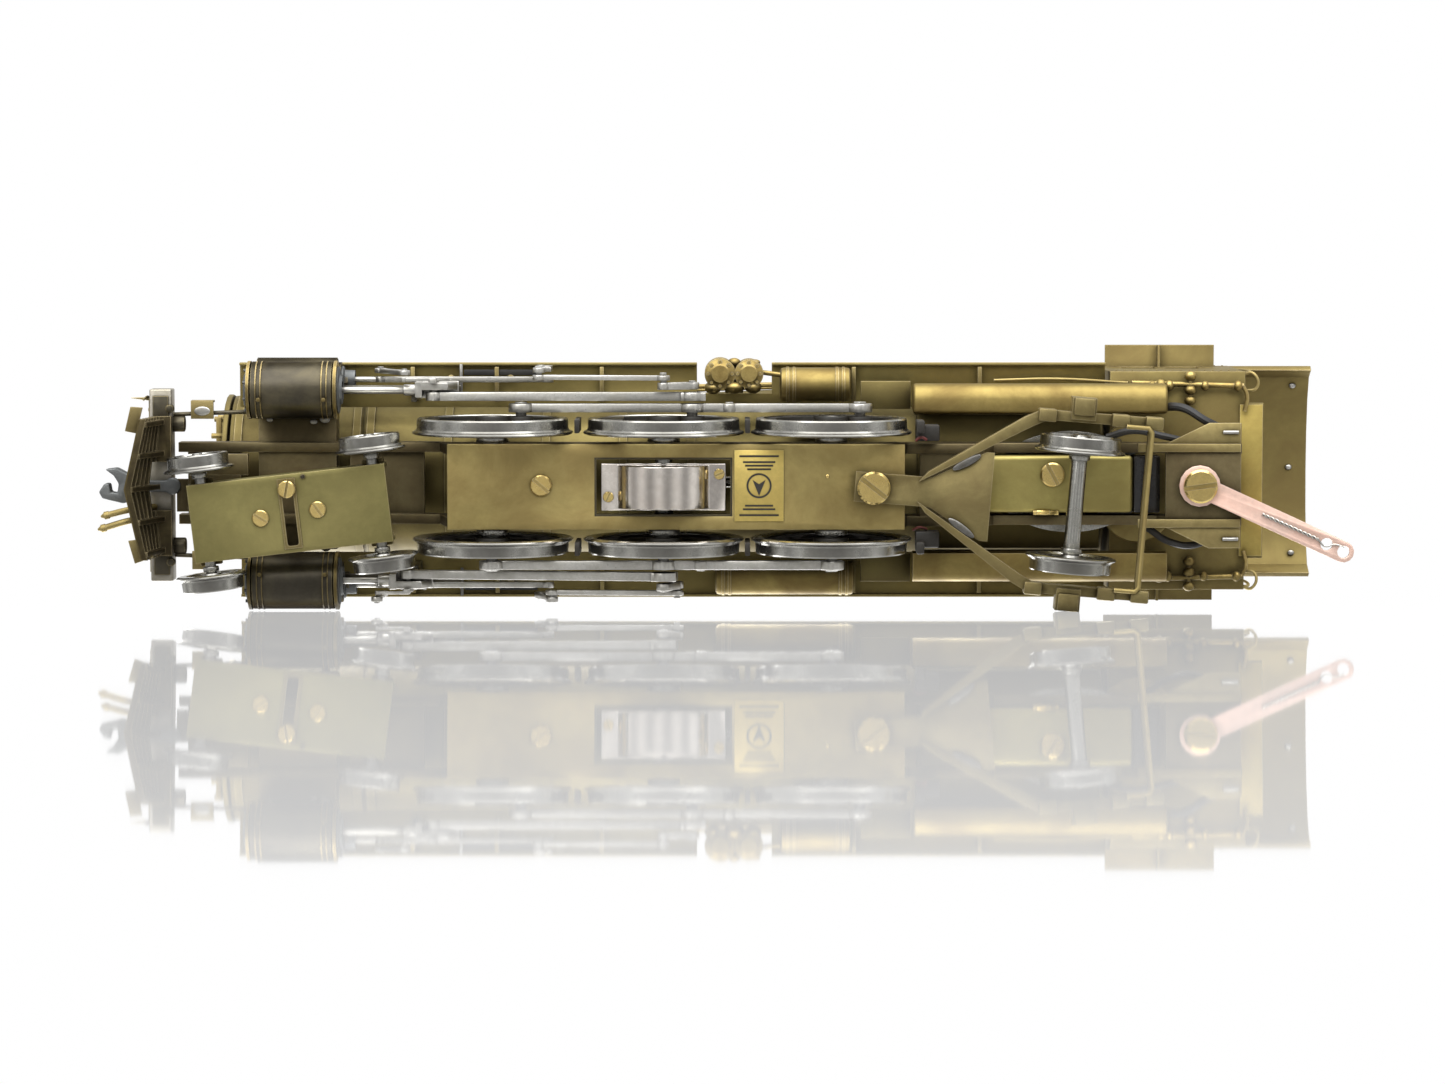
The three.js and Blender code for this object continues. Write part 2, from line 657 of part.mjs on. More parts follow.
/** Boiler barrel, smokebox and firebox as one soldered shell. */
function boiler() {
  const shell = turnedX(
    [
      [0, BACKHEAD_X],
      [BOILER_RADIUS.firebox, BACKHEAD_X],
      [BOILER_RADIUS.firebox, -24],
      [BOILER_RADIUS.barrel, -4],
      [BOILER_RADIUS.barrel, 43],
      [BOILER_RADIUS.smokebox, 43.4],
      [BOILER_RADIUS.smokebox, SMOKEBOX_FRONT_X],
      [0, SMOKEBOX_FRONT_X],
    ],
    BOILER_Z,
    28,
  );
  const legs = block([-62.0, -36.0], [-9.6, 9.6], [20.6, 30]);
  return join(shell, legs);
}

/** The smokebox front: the ring, the hinged door and the headlamp. */
function smokeboxFront() {
  const x = SMOKEBOX_FRONT_X + GAP;
  return join(
    barX([x, x + 0.8], 0, BOILER_Z, BOILER_RADIUS.smokebox + 0.2, 28),
    barX([x + 0.5, x + 1.6], 0, BOILER_Z, 7.6, 24, 6.6),
    barX([x + 1.4, x + 4.6], 0, BOILER_Z + 1.0, 2.1, 14),
  );
}

/** A turned fitting that stands on top of the boiler. */
function boilerTop(x, boilerRadius, profile) {
  const seat = BOILER_Z + boilerRadius;
  const fitting = turnedZ(
    profile.map(([radius, height]) => [radius, seat + height]),
    x,
    0,
    16,
  );
  return cut(fitting, barX([x - 9, x + 9], 0, BOILER_Z, boilerRadius + GAP, 28));
}

const chimneyProfile = [
  [0, -2],
  [3.4, -2],
  [3.3, 0.2],
  [2.4, 1.4],
  [2.3, 4.4],
  [2.8, 4.9],
  [2.8, 5.5],
  [0, 5.5],
];
const sandDomeProfile = [
  [0, -3],
  [5.4, -3],
  [4.9, 0.6],
  [4.5, 3.4],
  [3.4, 4.8],
  [1.6, 5.3],
  [0, 5.4],
];
const steamDomeProfile = [
  [0, -3],
  [5.0, -3],
  [4.4, 0.6],
  [4.1, 3.8],
  [3.0, 5.3],
  [1.4, 5.9],
  [0, 6.0],
];

add(engine, "boiler", boiler(), agedBrass());
add(engine, "smokebox_front", smokeboxFront(), agedBrass());
add(engine, "chimney", boilerTop(52.0, BOILER_RADIUS.smokebox, chimneyProfile), agedBrass());
add(engine, "sand_dome", boilerTop(28.0, BOILER_RADIUS.barrel, sandDomeProfile), agedBrass());
add(engine, "steam_dome", boilerTop(2.0, BOILER_RADIUS.barrel, steamDomeProfile), agedBrass());

/** The cab: floor, sides, front sheets and the long arched roof. */
function cab() {
  const [front, back] = CAB_X;
  const outer = [-CAB_SIDE_Y, CAB_SIDE_Y];
  const inner = [-CAB_SIDE_Y + CAB_WALL, CAB_SIDE_Y - CAB_WALL];
  const shell = block([front, back], outer, [CAB_FLOOR_Z + 1.6, CAB_EAVES_Z + 0.6]);
  const hollow = block([front - CAB_WALL, back - 5], inner, [CAB_FLOOR_Z + 2.4, CAB_EAVES_Z + 2]);
  const windows = [
    block([-66.4, -71.4], [-20, 20], [33.0, 39.6]),
    block([-72.8, -77.8], [-20, 20], [33.0, 39.6]),
    block([front + 2, front - 3], [-13.6, -9.6], [37.0, 41.6]),
    block([front + 2, front - 3], [9.6, 13.6], [37.0, 41.6]),
  ];
  const floor = block([front, -85.4], [-11.1, 11.1], [CAB_FLOOR_Z + 1.6, CAB_FLOOR_Z + 2.4]);
  const roofOutline = [];
  const steps = 8;
  const rise = ROOF_TOP_Z - CAB_EAVES_Z;
  const roofHalf = CAB_SIDE_Y;
  for (let i = 0; i <= steps; i += 1) {
    const y = roofHalf * Math.cos((Math.PI * i) / steps);
    roofOutline.push([y, CAB_EAVES_Z + rise * Math.sin((Math.PI * i) / steps) ** 0.8]);
  }
  const underside = roofOutline.map(([y, z]) => [y * 0.96, z - 0.8]).reverse();
  const roof = plateYZ([...roofOutline, ...underside], [ROOF_END_X, front + 0.4]);
  const frontSheet = plateYZ(
    roofOutline.map(([y, z]) => [y * 0.97, z - 0.4]),
    [front - CAB_WALL, front],
  );
  return cut(join(cut(shell, hollow), floor, roof, frontSheet), ...windows);
}

/** One window awning of the cab, a thin hood on two stays. */
function awningBlocks() {
  return Object.values(SIDES).map((side) =>
    join(
      block(AWNING.x, onSide(side, [CAB_SIDE_Y - 0.3, AWNING.y]), [AWNING.z + 3.2, AWNING.z + 3.6]),
      block([-72.0, -72.4], onSide(side, [CAB_SIDE_Y - 0.3, AWNING.y]), [AWNING.z + 2.0, AWNING.z + 3.4]),
    ),
  );
}

add(engine, "cab", join(cab(), ...awningBlocks()), agedBrass());

/** One running board along the boiler, notched on the left where the air compressor hangs. */
function runningBoard(side) {
  const board = block(BOARD_X, onSide(side, BOARD_Y), BOARD_Z);
  const edge = block(BOARD_X, onSide(side, [BOARD_Y[1] - 0.4, BOARD_Y[1]]), [BOARD_Z[0] - 0.8, BOARD_Z[1]]);
  const whole = join(board, edge);
  const notch = block([-4.6, -15.3], onSide(side, [12.4, 18]), [BOARD_Z[0] - 2, BOARD_Z[1] + 2]);
  return side.sign > 0 ? cut(whole, notch) : whole;
}

/** One air reservoir with its two end caps. */
function airTank(side, x) {
  const y = side.sign * 13.8;
  const z = 20.2;
  return join(
    barX([x[0] + 0.6, x[1] - 0.6], y, z, 2.4, 14),
    barX([x[1] - 0.6, x[1]], y, z, 2.4, 14, 1.8),
    barX([x[0], x[0] + 0.6], y, z, 1.8, 14, 2.4),
    block([middle(x) - 0.5, middle(x) + 0.5], onSide(side, [13.4, 14.2]), [z, BOARD_Z[0] - GAP]),
  );
}

/** One rounded ash pan casting beside the firebox. */
function ashPan(side) {
  const x = [-71.2, -35.2];
  return join(
    barX(x, side.sign * 11.9, 17.2, 2.2, 14),
    block(x, onSide(side, [9.9, 11.9]), [15.0, 19.4]),
    block([-62.0, -36.0], onSide(side, [10.0, 11.2]), [17.2, BOARD_Z[0] - GAP]),
  );
}

/** The cross-compound air compressor: two lobed cylinders on a neck. */
function airCompressor() {
  const z = [16.9, 23.0];
  return join(
    barZ(-7.9, 15.4, [z[0], 19.6], 2.3, 12),
    barZ(-12.0, 15.4, [z[0] + 0.4, 19.4], 2.1, 12),
    barZ(-7.9, 15.4, [20.4, z[1]], 2.3, 12),
    barZ(-12.0, 15.4, [20.4, z[1] - 0.4], 2.1, 12),
    block([-12.4, -7.4], [14.6, 16.2], [17.6, 22.2]),
    block([-11.0, -9.0], [12.8, 15.6], [19.0, 21.0]),
  );
}

const TANK_X = { left: [-28.4, -16.4], right: [-27.0, -7.2] };
for (const [name, side] of Object.entries(SIDES)) {
  add(engine, `running_board_${name}`, runningBoard(side), agedBrass());
  add(engine, `air_tank_${name}`, airTank(side, TANK_X[name]), agedBrass());
  add(engine, `ash_pan_${name}`, ashPan(side), agedBrass());
}
add(engine, "air_compressor", airCompressor(), brightBrass());

// ---------------------------------------------------------------- front end

const BEAM = { x: [69.0, 72.1], y: 13.5, z: [10.6, 14.4] };
const PILOT = { halfWidth: 9.8, low: 0.8, high: 9.2, strips: 6, stripHeight: 0.8 };

/** The front edge of the pilot at a height: its apex on the middle line and its two ends. */
function pilotEdge(z) {
  const rise = (z - PILOT.low) / (PILOT.high - PILOT.low);
  return { apex: 74.4 - 2.3 * rise, end: 72.2 - 1.0 * rise };
}

/** One V-shaped strip of the pilot, parallel to its toe. */
function pilotStrip(z) {
  const { apex, end } = pilotEdge(z);
  const depth = 0.9;
  return plateXY(
    [
      [apex, 0],
      [end, PILOT.halfWidth],
      [end - depth, PILOT.halfWidth],
      [apex - depth, 0],
      [end - depth, -PILOT.halfWidth],
      [end, -PILOT.halfWidth],
    ],
    [z, z + PILOT.stripHeight],
  );
}

/** An upright rib behind the strips, from the toe to the top bar. */
function pilotRib(y) {
  const low = pilotEdge(PILOT.low);
  const high = pilotEdge(PILOT.high);
  const share = Math.abs(y) / PILOT.halfWidth;
  const foot = low.apex + (low.end - low.apex) * share - 0.4;
  const head = high.apex + (high.end - high.apex) * share - 0.4;
  const outline = [
    [69.9, 10.0],
    [69.9, 8.6],
    [foot - 0.7, PILOT.low + 0.1],
    [foot, PILOT.low + 0.1],
    [head, 10.0],
  ];
  return plateXZ(outline, [y - 0.35, y + 0.35]);
}

/** The pilot: stacked V-shaped strips on upright ribs under a top bar. */
function pilot() {
  const parts = [block([68.9, 71.0], [-PILOT.halfWidth, PILOT.halfWidth], [9.0, 10.2])];
  for (const y of [-9.0, -4.6, 0, 4.6, 9.0]) {
    parts.push(pilotRib(y));
  }
  for (let i = 0; i < PILOT.strips; i += 1) {
    const rise = (PILOT.high - PILOT.low - PILOT.stripHeight) / (PILOT.strips - 1);
    parts.push(pilotStrip(PILOT.low + rise * i));
  }
  return join(...parts);
}

/** The solid beam across the front of the frame. */
function bufferBeam() {
  return block(BEAM.x, [-BEAM.y, BEAM.y], BEAM.z);
}

/** The knuckle coupler on its shank, with its origin on its pivot. */
function coupler() {
  const tip = COUPLER_TIP_X - COUPLER_PIVOT_X;
  const z = [-0.55, 0.55];
  const shank = block([0.6, tip - 4.2], [-0.8, 0.8], z);
  const head = plateXY(
    [
      [tip - 4.8, -2.0],
      [tip - 3.4, -2.4],
      [tip - 0.5, -1.7],
      [tip, -0.8],
      [tip - 0.8, 0.4],
      [tip - 1.5, 0.4],
      [tip - 1.7, -0.8],
      [tip - 2.6, -0.9],
      [tip - 2.8, 0.4],
      [tip - 2.1, 1.5],
      [tip - 0.9, 2.4],
      [tip - 2.5, 2.6],
      [tip - 4.0, 1.8],
      [tip - 4.8, 1.8],
    ],
    [-1.2, 1.2],
  );
  return join(shank, head, barZ(0.2, 0, z, 1.2, 14));
}

const couplerPocket = block([COUPLER_PIVOT_X - 2, 80], [-3.4, 3.4], [COUPLER_Z - 1.7, COUPLER_Z + 1.2]);
add(engine, "buffer_beam", bufferBeam(), darkBrass());
add(engine, "pilot", cut(pilot(), couplerPocket), agedBrass());
add(engine, "front_coupler", coupler(), greyCast(), [COUPLER_PIVOT_X, 0, COUPLER_Z]);

// ---------------------------------------------------------------- leading truck

const leadPivot = new THREE.Group();
leadPivot.position.set(LEAD_PIVOT.x, LEAD_PIVOT.y, 0);
leadPivot.rotation.z = LEAD_YAW;
engine.add(leadPivot);

const leadTruck = new THREE.Group();
leadTruck.position.y = LEAD_SHIFT;
leadPivot.add(leadTruck);

/** The shouldered screw that the leading truck turns and slides on. */
function leadPivotScrew() {
  const head = barZ(0, 0, [LEAD_PLATE.z[0] - 0.9, LEAD_PLATE.z[0] - GAP], 1.2, 16);
  return join(head, barZ(0, 0, [LEAD_PLATE.z[0] - 0.5, 15.2], 0.55, 12));
}

/** The leading truck's plate and side frames, with the slot for its pivot. */
function leadTruckFrame() {
  const half = { x: LEAD_PLATE.length / 2, y: LEAD_PLATE.width / 2 };
  const plate = block([-half.x, half.x], [-half.y, half.y], LEAD_PLATE.z);
  const sides = Object.values(SIDES).map((side) =>
    block([-half.x, half.x], onSide(side, [half.y - 0.6, half.y]), [LEAD_PLATE.z[0], 6.6]),
  );
  const axleHoles = [-1, 1].map((end) => {
    const x = (end * LEAD_WHEELBASE) / 2;
    return block([x - 1.0, x + 1.0], [-8, 8], [LEAD_WHEEL_RADIUS - 1.0, LEAD_WHEEL_RADIUS + 1.0]);
  });
  const slot = block(
    [-LEAD_SLOT.width / 2, LEAD_SLOT.width / 2],
    [-LEAD_SLOT.length / 2, LEAD_SLOT.length / 2],
    [0, 5],
  );
  return cut(join(plate, ...sides), ...axleHoles, slot);
}

add(leadPivot, "lead_pivot_screw", leadPivotScrew(), brightBrass());
add(leadTruck, "lead_truck_frame", leadTruckFrame(), goldenBrass());
for (const [place, end] of [["front", 1], ["rear", -1]]) {
  const at = [(end * LEAD_WHEELBASE) / 2, 0, LEAD_WHEEL_RADIUS];
  const set = wheelset(LEAD_WHEEL_RADIUS, 0.6, 16, WHEEL_BACK + WHEEL_WIDTH + 0.2);
  add(leadTruck, `lead_wheelset_${place}`, set, nickel(), at);
}

// ---------------------------------------------------------------- trailing truck

const trailingTruck = new THREE.Group();
trailingTruck.position.set(TRAILING_PIVOT.x, TRAILING_PIVOT.y, 0);
trailingTruck.rotation.z = TRAILING_YAW;
engine.add(trailingTruck);

/** The trailing truck's arm, its two splayed bars, side frames and rear cross rod. */
function trailingTruckFrame() {
  const plateZ = [5.5, 6.1];
  const arm = plateXY(
    [
      [2.6, -2.1],
      [2.6, 2.1],
      [-8.0, 2.1],
      [-15.2, 6.2],
      [-16.4, 6.2],
      [-16.4, -6.2],
      [-15.2, -6.2],
      [-8.0, -2.1],
    ],
    plateZ,
  );
  const bars = Object.values(SIDES).map((side) => {
    const s = side.sign;
    const splayed = plateXY(
      [
        [-6.2, s * 1.4],
        [-7.4, s * 2.9],
        [-20.2, s * 11.6],
        [-22.6, s * (TRAILING_SIDE_Y + 0.7)],
        [-23.4, s * (TRAILING_SIDE_Y - 0.7)],
        [-21.4, s * 10.4],
      ],
      [5.0, 6.6],
    );
    const sideBar = block(
      [TRAILING_END_X, -22.0],
      onSide(side, [TRAILING_SIDE_Y - 0.7, TRAILING_SIDE_Y + 0.7]),
      [5.0, 7.4],
    );
    const journal = block(
      [TRAILING_AXLE_X - 1.7, TRAILING_AXLE_X + 1.7],
      onSide(side, [TRAILING_SIDE_Y - 0.3, 14.9]),
      [4.2, 8.0],
    );
    return join(splayed, sideBar, journal);
  });
  const cross = barY(TRAILING_END_X + 0.8, [-TRAILING_SIDE_Y, TRAILING_SIDE_Y], 6.0, 0.45, 8);
  return cut(join(arm, ...bars, cross), barZ(0, 0, [0, 9], 1.1 + GAP, 12));
}

add(trailingTruck, "trailing_truck_frame", trailingTruckFrame(), agedBrass());
add(
  trailingTruck,
  "trailing_wheelset",
  wheelset(TRAILING_WHEEL_RADIUS, 0.9, 18, TRAILING_SIDE_Y - 0.7 - GAP),
  nickel(),
  [TRAILING_AXLE_X, 0, TRAILING_WHEEL_RADIUS],
);
add(
  engine,
  "trailing_pivot_screw",
  join(barZ(0, 0, [4.1, 5.2], 2.3, 16), barZ(0, 0, [5.0, KEEPER_Z[0] - GAP], 1.1, 12)),
  brightBrass(),
  [TRAILING_PIVOT.x, TRAILING_PIVOT.y, 0],
);

// ---------------------------------------------------------------- drawbar

const drawbarGroup = new THREE.Group();
drawbarGroup.position.set(DRAWBAR_PIVOT.x, DRAWBAR_PIVOT.y, 0);
drawbarGroup.rotation.z = DRAWBAR_YAW;
engine.add(drawbarGroup);

/** The flat drawbar, with a hole for its screw and two for the tender pin. */
function drawbar() {
  const half = DRAWBAR_WIDTH / 2;
  const bar = block([-DRAWBAR_LENGTH, 0], [-half, half], DRAWBAR_Z);
  const ends = [
    barZ(0, 0, DRAWBAR_Z, 2.9, 16),
    barZ(-DRAWBAR_LENGTH, 0, DRAWBAR_Z, half, 12),
  ];
  const through = [DRAWBAR_Z[0] - 1, DRAWBAR_Z[1] + 1];
  const holes = [
    barZ(0, 0, through, 1.0 + GAP, 12),
    barZ(-DRAWBAR_LENGTH, 0, through, 0.9, 10),
    barZ(-DRAWBAR_LENGTH + 2.6, 0, through, 0.9, 10),
  ];
  return cut(join(bar, ...ends), ...holes);
}

add(drawbarGroup, "drawbar", drawbar(), copper());
add(
  engine,
  "drawbar_screw",
  join(barZ(0, 0, [7.5, 8.6], 2.4, 16), barZ(0, 0, [8.4, 10.2 - GAP], 1.0, 12)),
  brightBrass(),
  [DRAWBAR_PIVOT.x, DRAWBAR_PIVOT.y, 0],
);

export default locomotive;
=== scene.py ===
"""A brass 1:87 model of a 4-6-2 steam locomotive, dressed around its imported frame.

Shapes are drawn in millimetres in a local frame (the engine, a truck or the drawbar) and are moved into the
row frame, in metres, when they are fitted. In the engine's own frame x is zero at the middle driving axle.
"""

from __future__ import annotations

import json
import logging
import math
from dataclasses import dataclass
from enum import Enum
from typing import Callable, Iterable, Sequence

import bpy
from mathutils import Matrix, Vector

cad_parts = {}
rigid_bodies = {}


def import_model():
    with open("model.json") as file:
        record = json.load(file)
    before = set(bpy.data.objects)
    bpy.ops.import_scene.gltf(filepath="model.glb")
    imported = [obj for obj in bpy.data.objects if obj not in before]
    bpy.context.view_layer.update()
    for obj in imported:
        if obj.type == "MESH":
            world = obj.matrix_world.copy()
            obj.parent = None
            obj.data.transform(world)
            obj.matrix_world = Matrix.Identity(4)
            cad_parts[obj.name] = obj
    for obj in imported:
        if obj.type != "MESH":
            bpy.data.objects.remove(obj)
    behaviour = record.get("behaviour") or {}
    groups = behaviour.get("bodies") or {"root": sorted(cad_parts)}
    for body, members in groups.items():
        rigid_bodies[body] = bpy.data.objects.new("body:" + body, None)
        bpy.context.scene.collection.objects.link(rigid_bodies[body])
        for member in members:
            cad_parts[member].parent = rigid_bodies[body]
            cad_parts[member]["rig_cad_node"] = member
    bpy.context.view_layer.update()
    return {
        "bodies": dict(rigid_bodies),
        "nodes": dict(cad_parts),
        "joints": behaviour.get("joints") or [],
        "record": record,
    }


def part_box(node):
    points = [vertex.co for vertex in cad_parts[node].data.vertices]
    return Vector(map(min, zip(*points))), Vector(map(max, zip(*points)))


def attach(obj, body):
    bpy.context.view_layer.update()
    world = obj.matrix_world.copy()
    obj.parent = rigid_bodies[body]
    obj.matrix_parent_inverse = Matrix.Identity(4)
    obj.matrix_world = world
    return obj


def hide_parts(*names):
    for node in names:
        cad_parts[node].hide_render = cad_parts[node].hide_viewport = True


LOG = logging.getLogger("locomotive")
MILLIMETRE = 0.001
Span = tuple[float, float]
Point = tuple[float, float, float]
Colour = tuple[float, float, float]
Part = bpy.types.Object


class Axis(Enum):
    """The axis that a turned piece, a plate or a bar is drawn along."""

    X = "x"
    Y = "y"
    Z = "z"


class Side(Enum):
    """The two sides of the engine; the value is the sign of y."""

    LEFT = 1
    RIGHT = -1

    @property
    def word(self) -> str:
        """The side's name as the frame's nodes spell it."""
        return self.name.lower()

    def span(self, inner: float, outer: float) -> Span:
        """A span of y on this side.

        Args:
            inner: distance of the near face from the middle, in millimetres.
            outer: distance of the far face from the middle, in millimetres.

        Returns:
            The two y values, lowest first.
        """
        return tuple(sorted((self.value * inner, self.value * outer)))


# ------------------------------------------------------------------ the bench: modelling tools


class Bench:
    """Hand tools that add, shape, join and cut meshes with Blender's own operators."""

    @staticmethod
    def only(part: Part) -> Part:
        """Select one object alone and make it active.

        Args:
            part: the object.

        Returns:
            The same object.
        """
        bpy.ops.object.select_all(action="DESELECT")
        part.select_set(True)
        bpy.context.view_layer.objects.active = part
        return part

    @staticmethod
    def fresh() -> Part:
        """The object that an add operator has just made, with its place and turn put in its mesh.

        Returns:
            The object.
        """
        part = bpy.context.active_object
        bpy.ops.object.transform_apply(location=True, rotation=True, scale=True)
        return part

    @classmethod
    def soften(cls, part: Part, width: float, segments: int = 2, angle: float = 35.0) -> Part:
        """Round the sharp edges of a part.

        Args:
            part: the part to work on.
            width: how wide the rounding is, in millimetres; nothing happens at zero.
            segments: how many facets the rounding has.
            angle: the least angle between faces that counts as an edge, in degrees.

        Returns:
            The same part.
        """
        if width <= 0:
            return part
        cls.only(part)
        bevel = part.modifiers.new("edge", "BEVEL")
        bevel.width = width
        bevel.segments = segments
        bevel.limit_method = "ANGLE"
        bevel.angle_limit = math.radians(angle)
        bevel.use_clamp_overlap = True
        bpy.ops.object.modifier_apply(modifier=bevel.name)
        return part

    @classmethod
    def slab(cls, x: Span, y: Span, z: Span, round_by: float = 0.08) -> Part:
        """A block between two values on each axis, with softened edges.

        Args:
            x: its two x values.
            y: its two y values.
            z: its two z values.
            round_by: rounding of its edges.

        Returns:
            The new part.
        """
        bpy.ops.object.select_all(action="DESELECT")
        middle = [(s[0] + s[1]) / 2 for s in (x, y, z)]
        bpy.ops.mesh.primitive_cube_add(size=1, location=middle)
        bpy.context.active_object.scale = [abs(s[1] - s[0]) for s in (x, y, z)]
        return cls.soften(cls.fresh(), round_by)

    @classmethod
    def bar(
        cls,
        start: Point,
        end: Point,
        radius: float,
        sides: int = 32,
        round_by: float = 0.0,
        end_radius: float | None = None,
    ) -> Part:
        """A round bar between two points.

        Args:
            start: centre of the first end.
            end: centre of the second end.
            radius: radius at the first end.
            sides: facets around the bar.
            round_by: rounding of its rims.
            end_radius: radius at the second end, if it tapers.

        Returns:
            The new part.
        """
        bpy.ops.object.select_all(action="DESELECT")
        first, last = Vector(start), Vector(end)
        run = last - first
        bpy.ops.mesh.primitive_cone_add(
            vertices=sides,
            radius1=radius,
            radius2=radius if end_radius is None else end_radius,
            depth=run.length,
            location=(first + last) / 2,
            rotation=run.to_track_quat("Z", "Y").to_euler(),
        )
        return cls.soften(cls.fresh(), round_by, angle=50)

    @classmethod
    def ball(cls, centre: Point, radius: float, squash: Point = (1, 1, 1), rings: int = 16) -> Part:
        """A ball or an egg-shaped lump.

        Args:
            centre: its middle.
            radius: its radius before it is squashed.
            squash: its scale along each axis.
            rings: facets from pole to pole.

        Returns:
            The new part.
        """
        bpy.ops.object.select_all(action="DESELECT")
        bpy.ops.mesh.primitive_uv_sphere_add(
            segments=rings * 2, ring_count=rings, radius=radius, location=centre
        )
        bpy.context.active_object.scale = squash
        return cls.fresh()

    @classmethod
    def sketch(cls, points: Sequence[Point], closed: bool, filled: bool) -> Part:
        """A loose outline of points, to be spun or extruded.

        Args:
            points: the outline's points.
            closed: whether the last point joins the first.
            filled: whether the outline becomes a face.

        Returns:
            The new part.
        """
        mesh = bpy.data.meshes.new("sketch")
        count = len(points)
        edges = [(i, (i + 1) % count) for i in range(count if closed else count - 1)]
        mesh.from_pydata(points, [] if filled else edges, [tuple(range(count))] if filled else [])
        part = bpy.data.objects.new("sketch", mesh)
        bpy.context.scene.collection.objects.link(part)
        return cls.only(part)

    @classmethod
    def turned(
        cls,
        profile: Sequence[tuple[float, float]],
        axis: Axis = Axis.Z,
        centre: Point = (0, 0, 0),
        steps: int = 56,
        closed: bool = False,
    ) -> Part:
        """A turned piece.

        Args:
            profile: [radius, height along the axis] points, from axis to axis, or a closed ring's section.
            axis: the axis it is turned about.
            centre: a point on that axis.
            steps: facets around it.
            closed: whether the profile is a ring's closed section.

        Returns:
            The new part.
        """
        part = cls.sketch([(r, 0, h) for r, h in profile], closed, False)
        bpy.ops.object.mode_set(mode="EDIT")
        bpy.ops.mesh.select_all(action="SELECT")
        bpy.ops.mesh.spin(steps=steps, angle=math.tau, center=(0, 0, 0), axis=(0, 0, 1))
        bpy.ops.mesh.select_all(action="SELECT")
        bpy.ops.mesh.remove_doubles(threshold=1e-4)
        bpy.ops.mesh.normals_make_consistent(inside=False)
        bpy.ops.object.mode_set(mode="OBJECT")
        turn = {
            Axis.X: Matrix.Rotation(math.pi / 2, 4, "Y"),
            Axis.Y: Matrix.Rotation(-math.pi / 2, 4, "X"),
            Axis.Z: Matrix.Identity(4),
        }[axis]
        part.data.transform(Matrix.Translation(centre) @ turn)
        return part

    @classmethod
    def plate(
        cls,
        outline: Sequence[tuple[float, float]],
        depth: Span,
        axis: Axis = Axis.Z,
        round_by: float = 0.08,
    ) -> Part:
        """A flat plate with a drawn outline.

        Args:
            outline: corner points; (x, y) for Z, (x, z) for Y and (y, z) for X.
            depth: where its two faces stand along the axis.
            axis: the axis the plate is thick along.
            round_by: rounding of its edges.

        Returns:
            The new part.
        """
        place: Callable[[float, float], Point] = {
            Axis.X: lambda a, b: (depth[0], a, b),
            Axis.Y: lambda a, b: (a, depth[0], b),
            Axis.Z: lambda a, b: (a, b, depth[0]),
        }[axis]
        part = cls.sketch([place(a, b) for a, b in outline], True, True)
        move = Vector((axis is Axis.X, axis is Axis.Y, axis is Axis.Z)) * (depth[1] - depth[0])
        bpy.ops.object.mode_set(mode="EDIT")
        bpy.ops.mesh.select_all(action="SELECT")
        bpy.ops.mesh.extrude_region_move(TRANSFORM_OT_translate={"value": move})
        bpy.ops.mesh.select_all(action="SELECT")
        bpy.ops.mesh.normals_make_consistent(inside=False)
        bpy.ops.object.mode_set(mode="OBJECT")
        return cls.soften(part, round_by)

    @classmethod
    def wire(cls, points: Sequence[Point], radius: float, smooth: bool = True, sides: int = 3) -> Part:
        """A round wire or pipe along a row of points, with closed ends.

        Args:
            points: the points it passes through.
            radius: half its thickness.
            smooth: whether it bends softly at the points.
            sides: how finely its section is rounded.

        Returns:
            The new part.
        """
        bpy.ops.object.select_all(action="DESELECT")
        curve = bpy.data.curves.new("wire", "CURVE")
        curve.dimensions = "3D"
        curve.bevel_depth = radius
        curve.bevel_resolution = sides
        curve.use_fill_caps = True
        curve.resolution_u = 8
        spline = curve.splines.new("BEZIER")
        spline.bezier_points.add(len(points) - 1)
        for knot, at in zip(spline.bezier_points, points):
            knot.co = at
            knot.handle_left_type = knot.handle_right_type = "AUTO" if smooth else "VECTOR"
        part = bpy.data.objects.new("wire", curve)
        bpy.context.scene.collection.objects.link(part)
        cls.only(part)
        bpy.ops.object.convert(target="MESH")
        return bpy.context.active_object

    @classmethod
    def join(cls, parts: Iterable[Part]) -> Part:
        """Gather several parts into one mesh.

        Args:
            parts: the parts.

        Returns:
            The first part, with the others in it.
        """
        parts = list(parts)
        cls.only(parts[0])
        for part in parts[1:]:
            part.select_set(True)
        if len(parts) > 1:
            bpy.ops.object.join()
        return parts[0]

    @classmethod
    def cut(cls, part: Part, cutters: Iterable[Part], round_by: float = 0.0) -> Part:
        """Take cutters out of a part and throw them away.

        Args:
            part: the part.
            cutters: what is taken out of it.
            round_by: rounding of its edges afterwards.

        Returns:
            The same part.
        """
        for cutter in list(cutters):
            cls.only(part)
            boolean = part.modifiers.new("cut", "BOOLEAN")
            boolean.operation = "DIFFERENCE"
            boolean.solver = "EXACT"
            boolean.object = cutter
            bpy.ops.object.modifier_apply(modifier=boolean.name)
            bpy.data.objects.remove(cutter)
        return cls.soften(part, round_by)

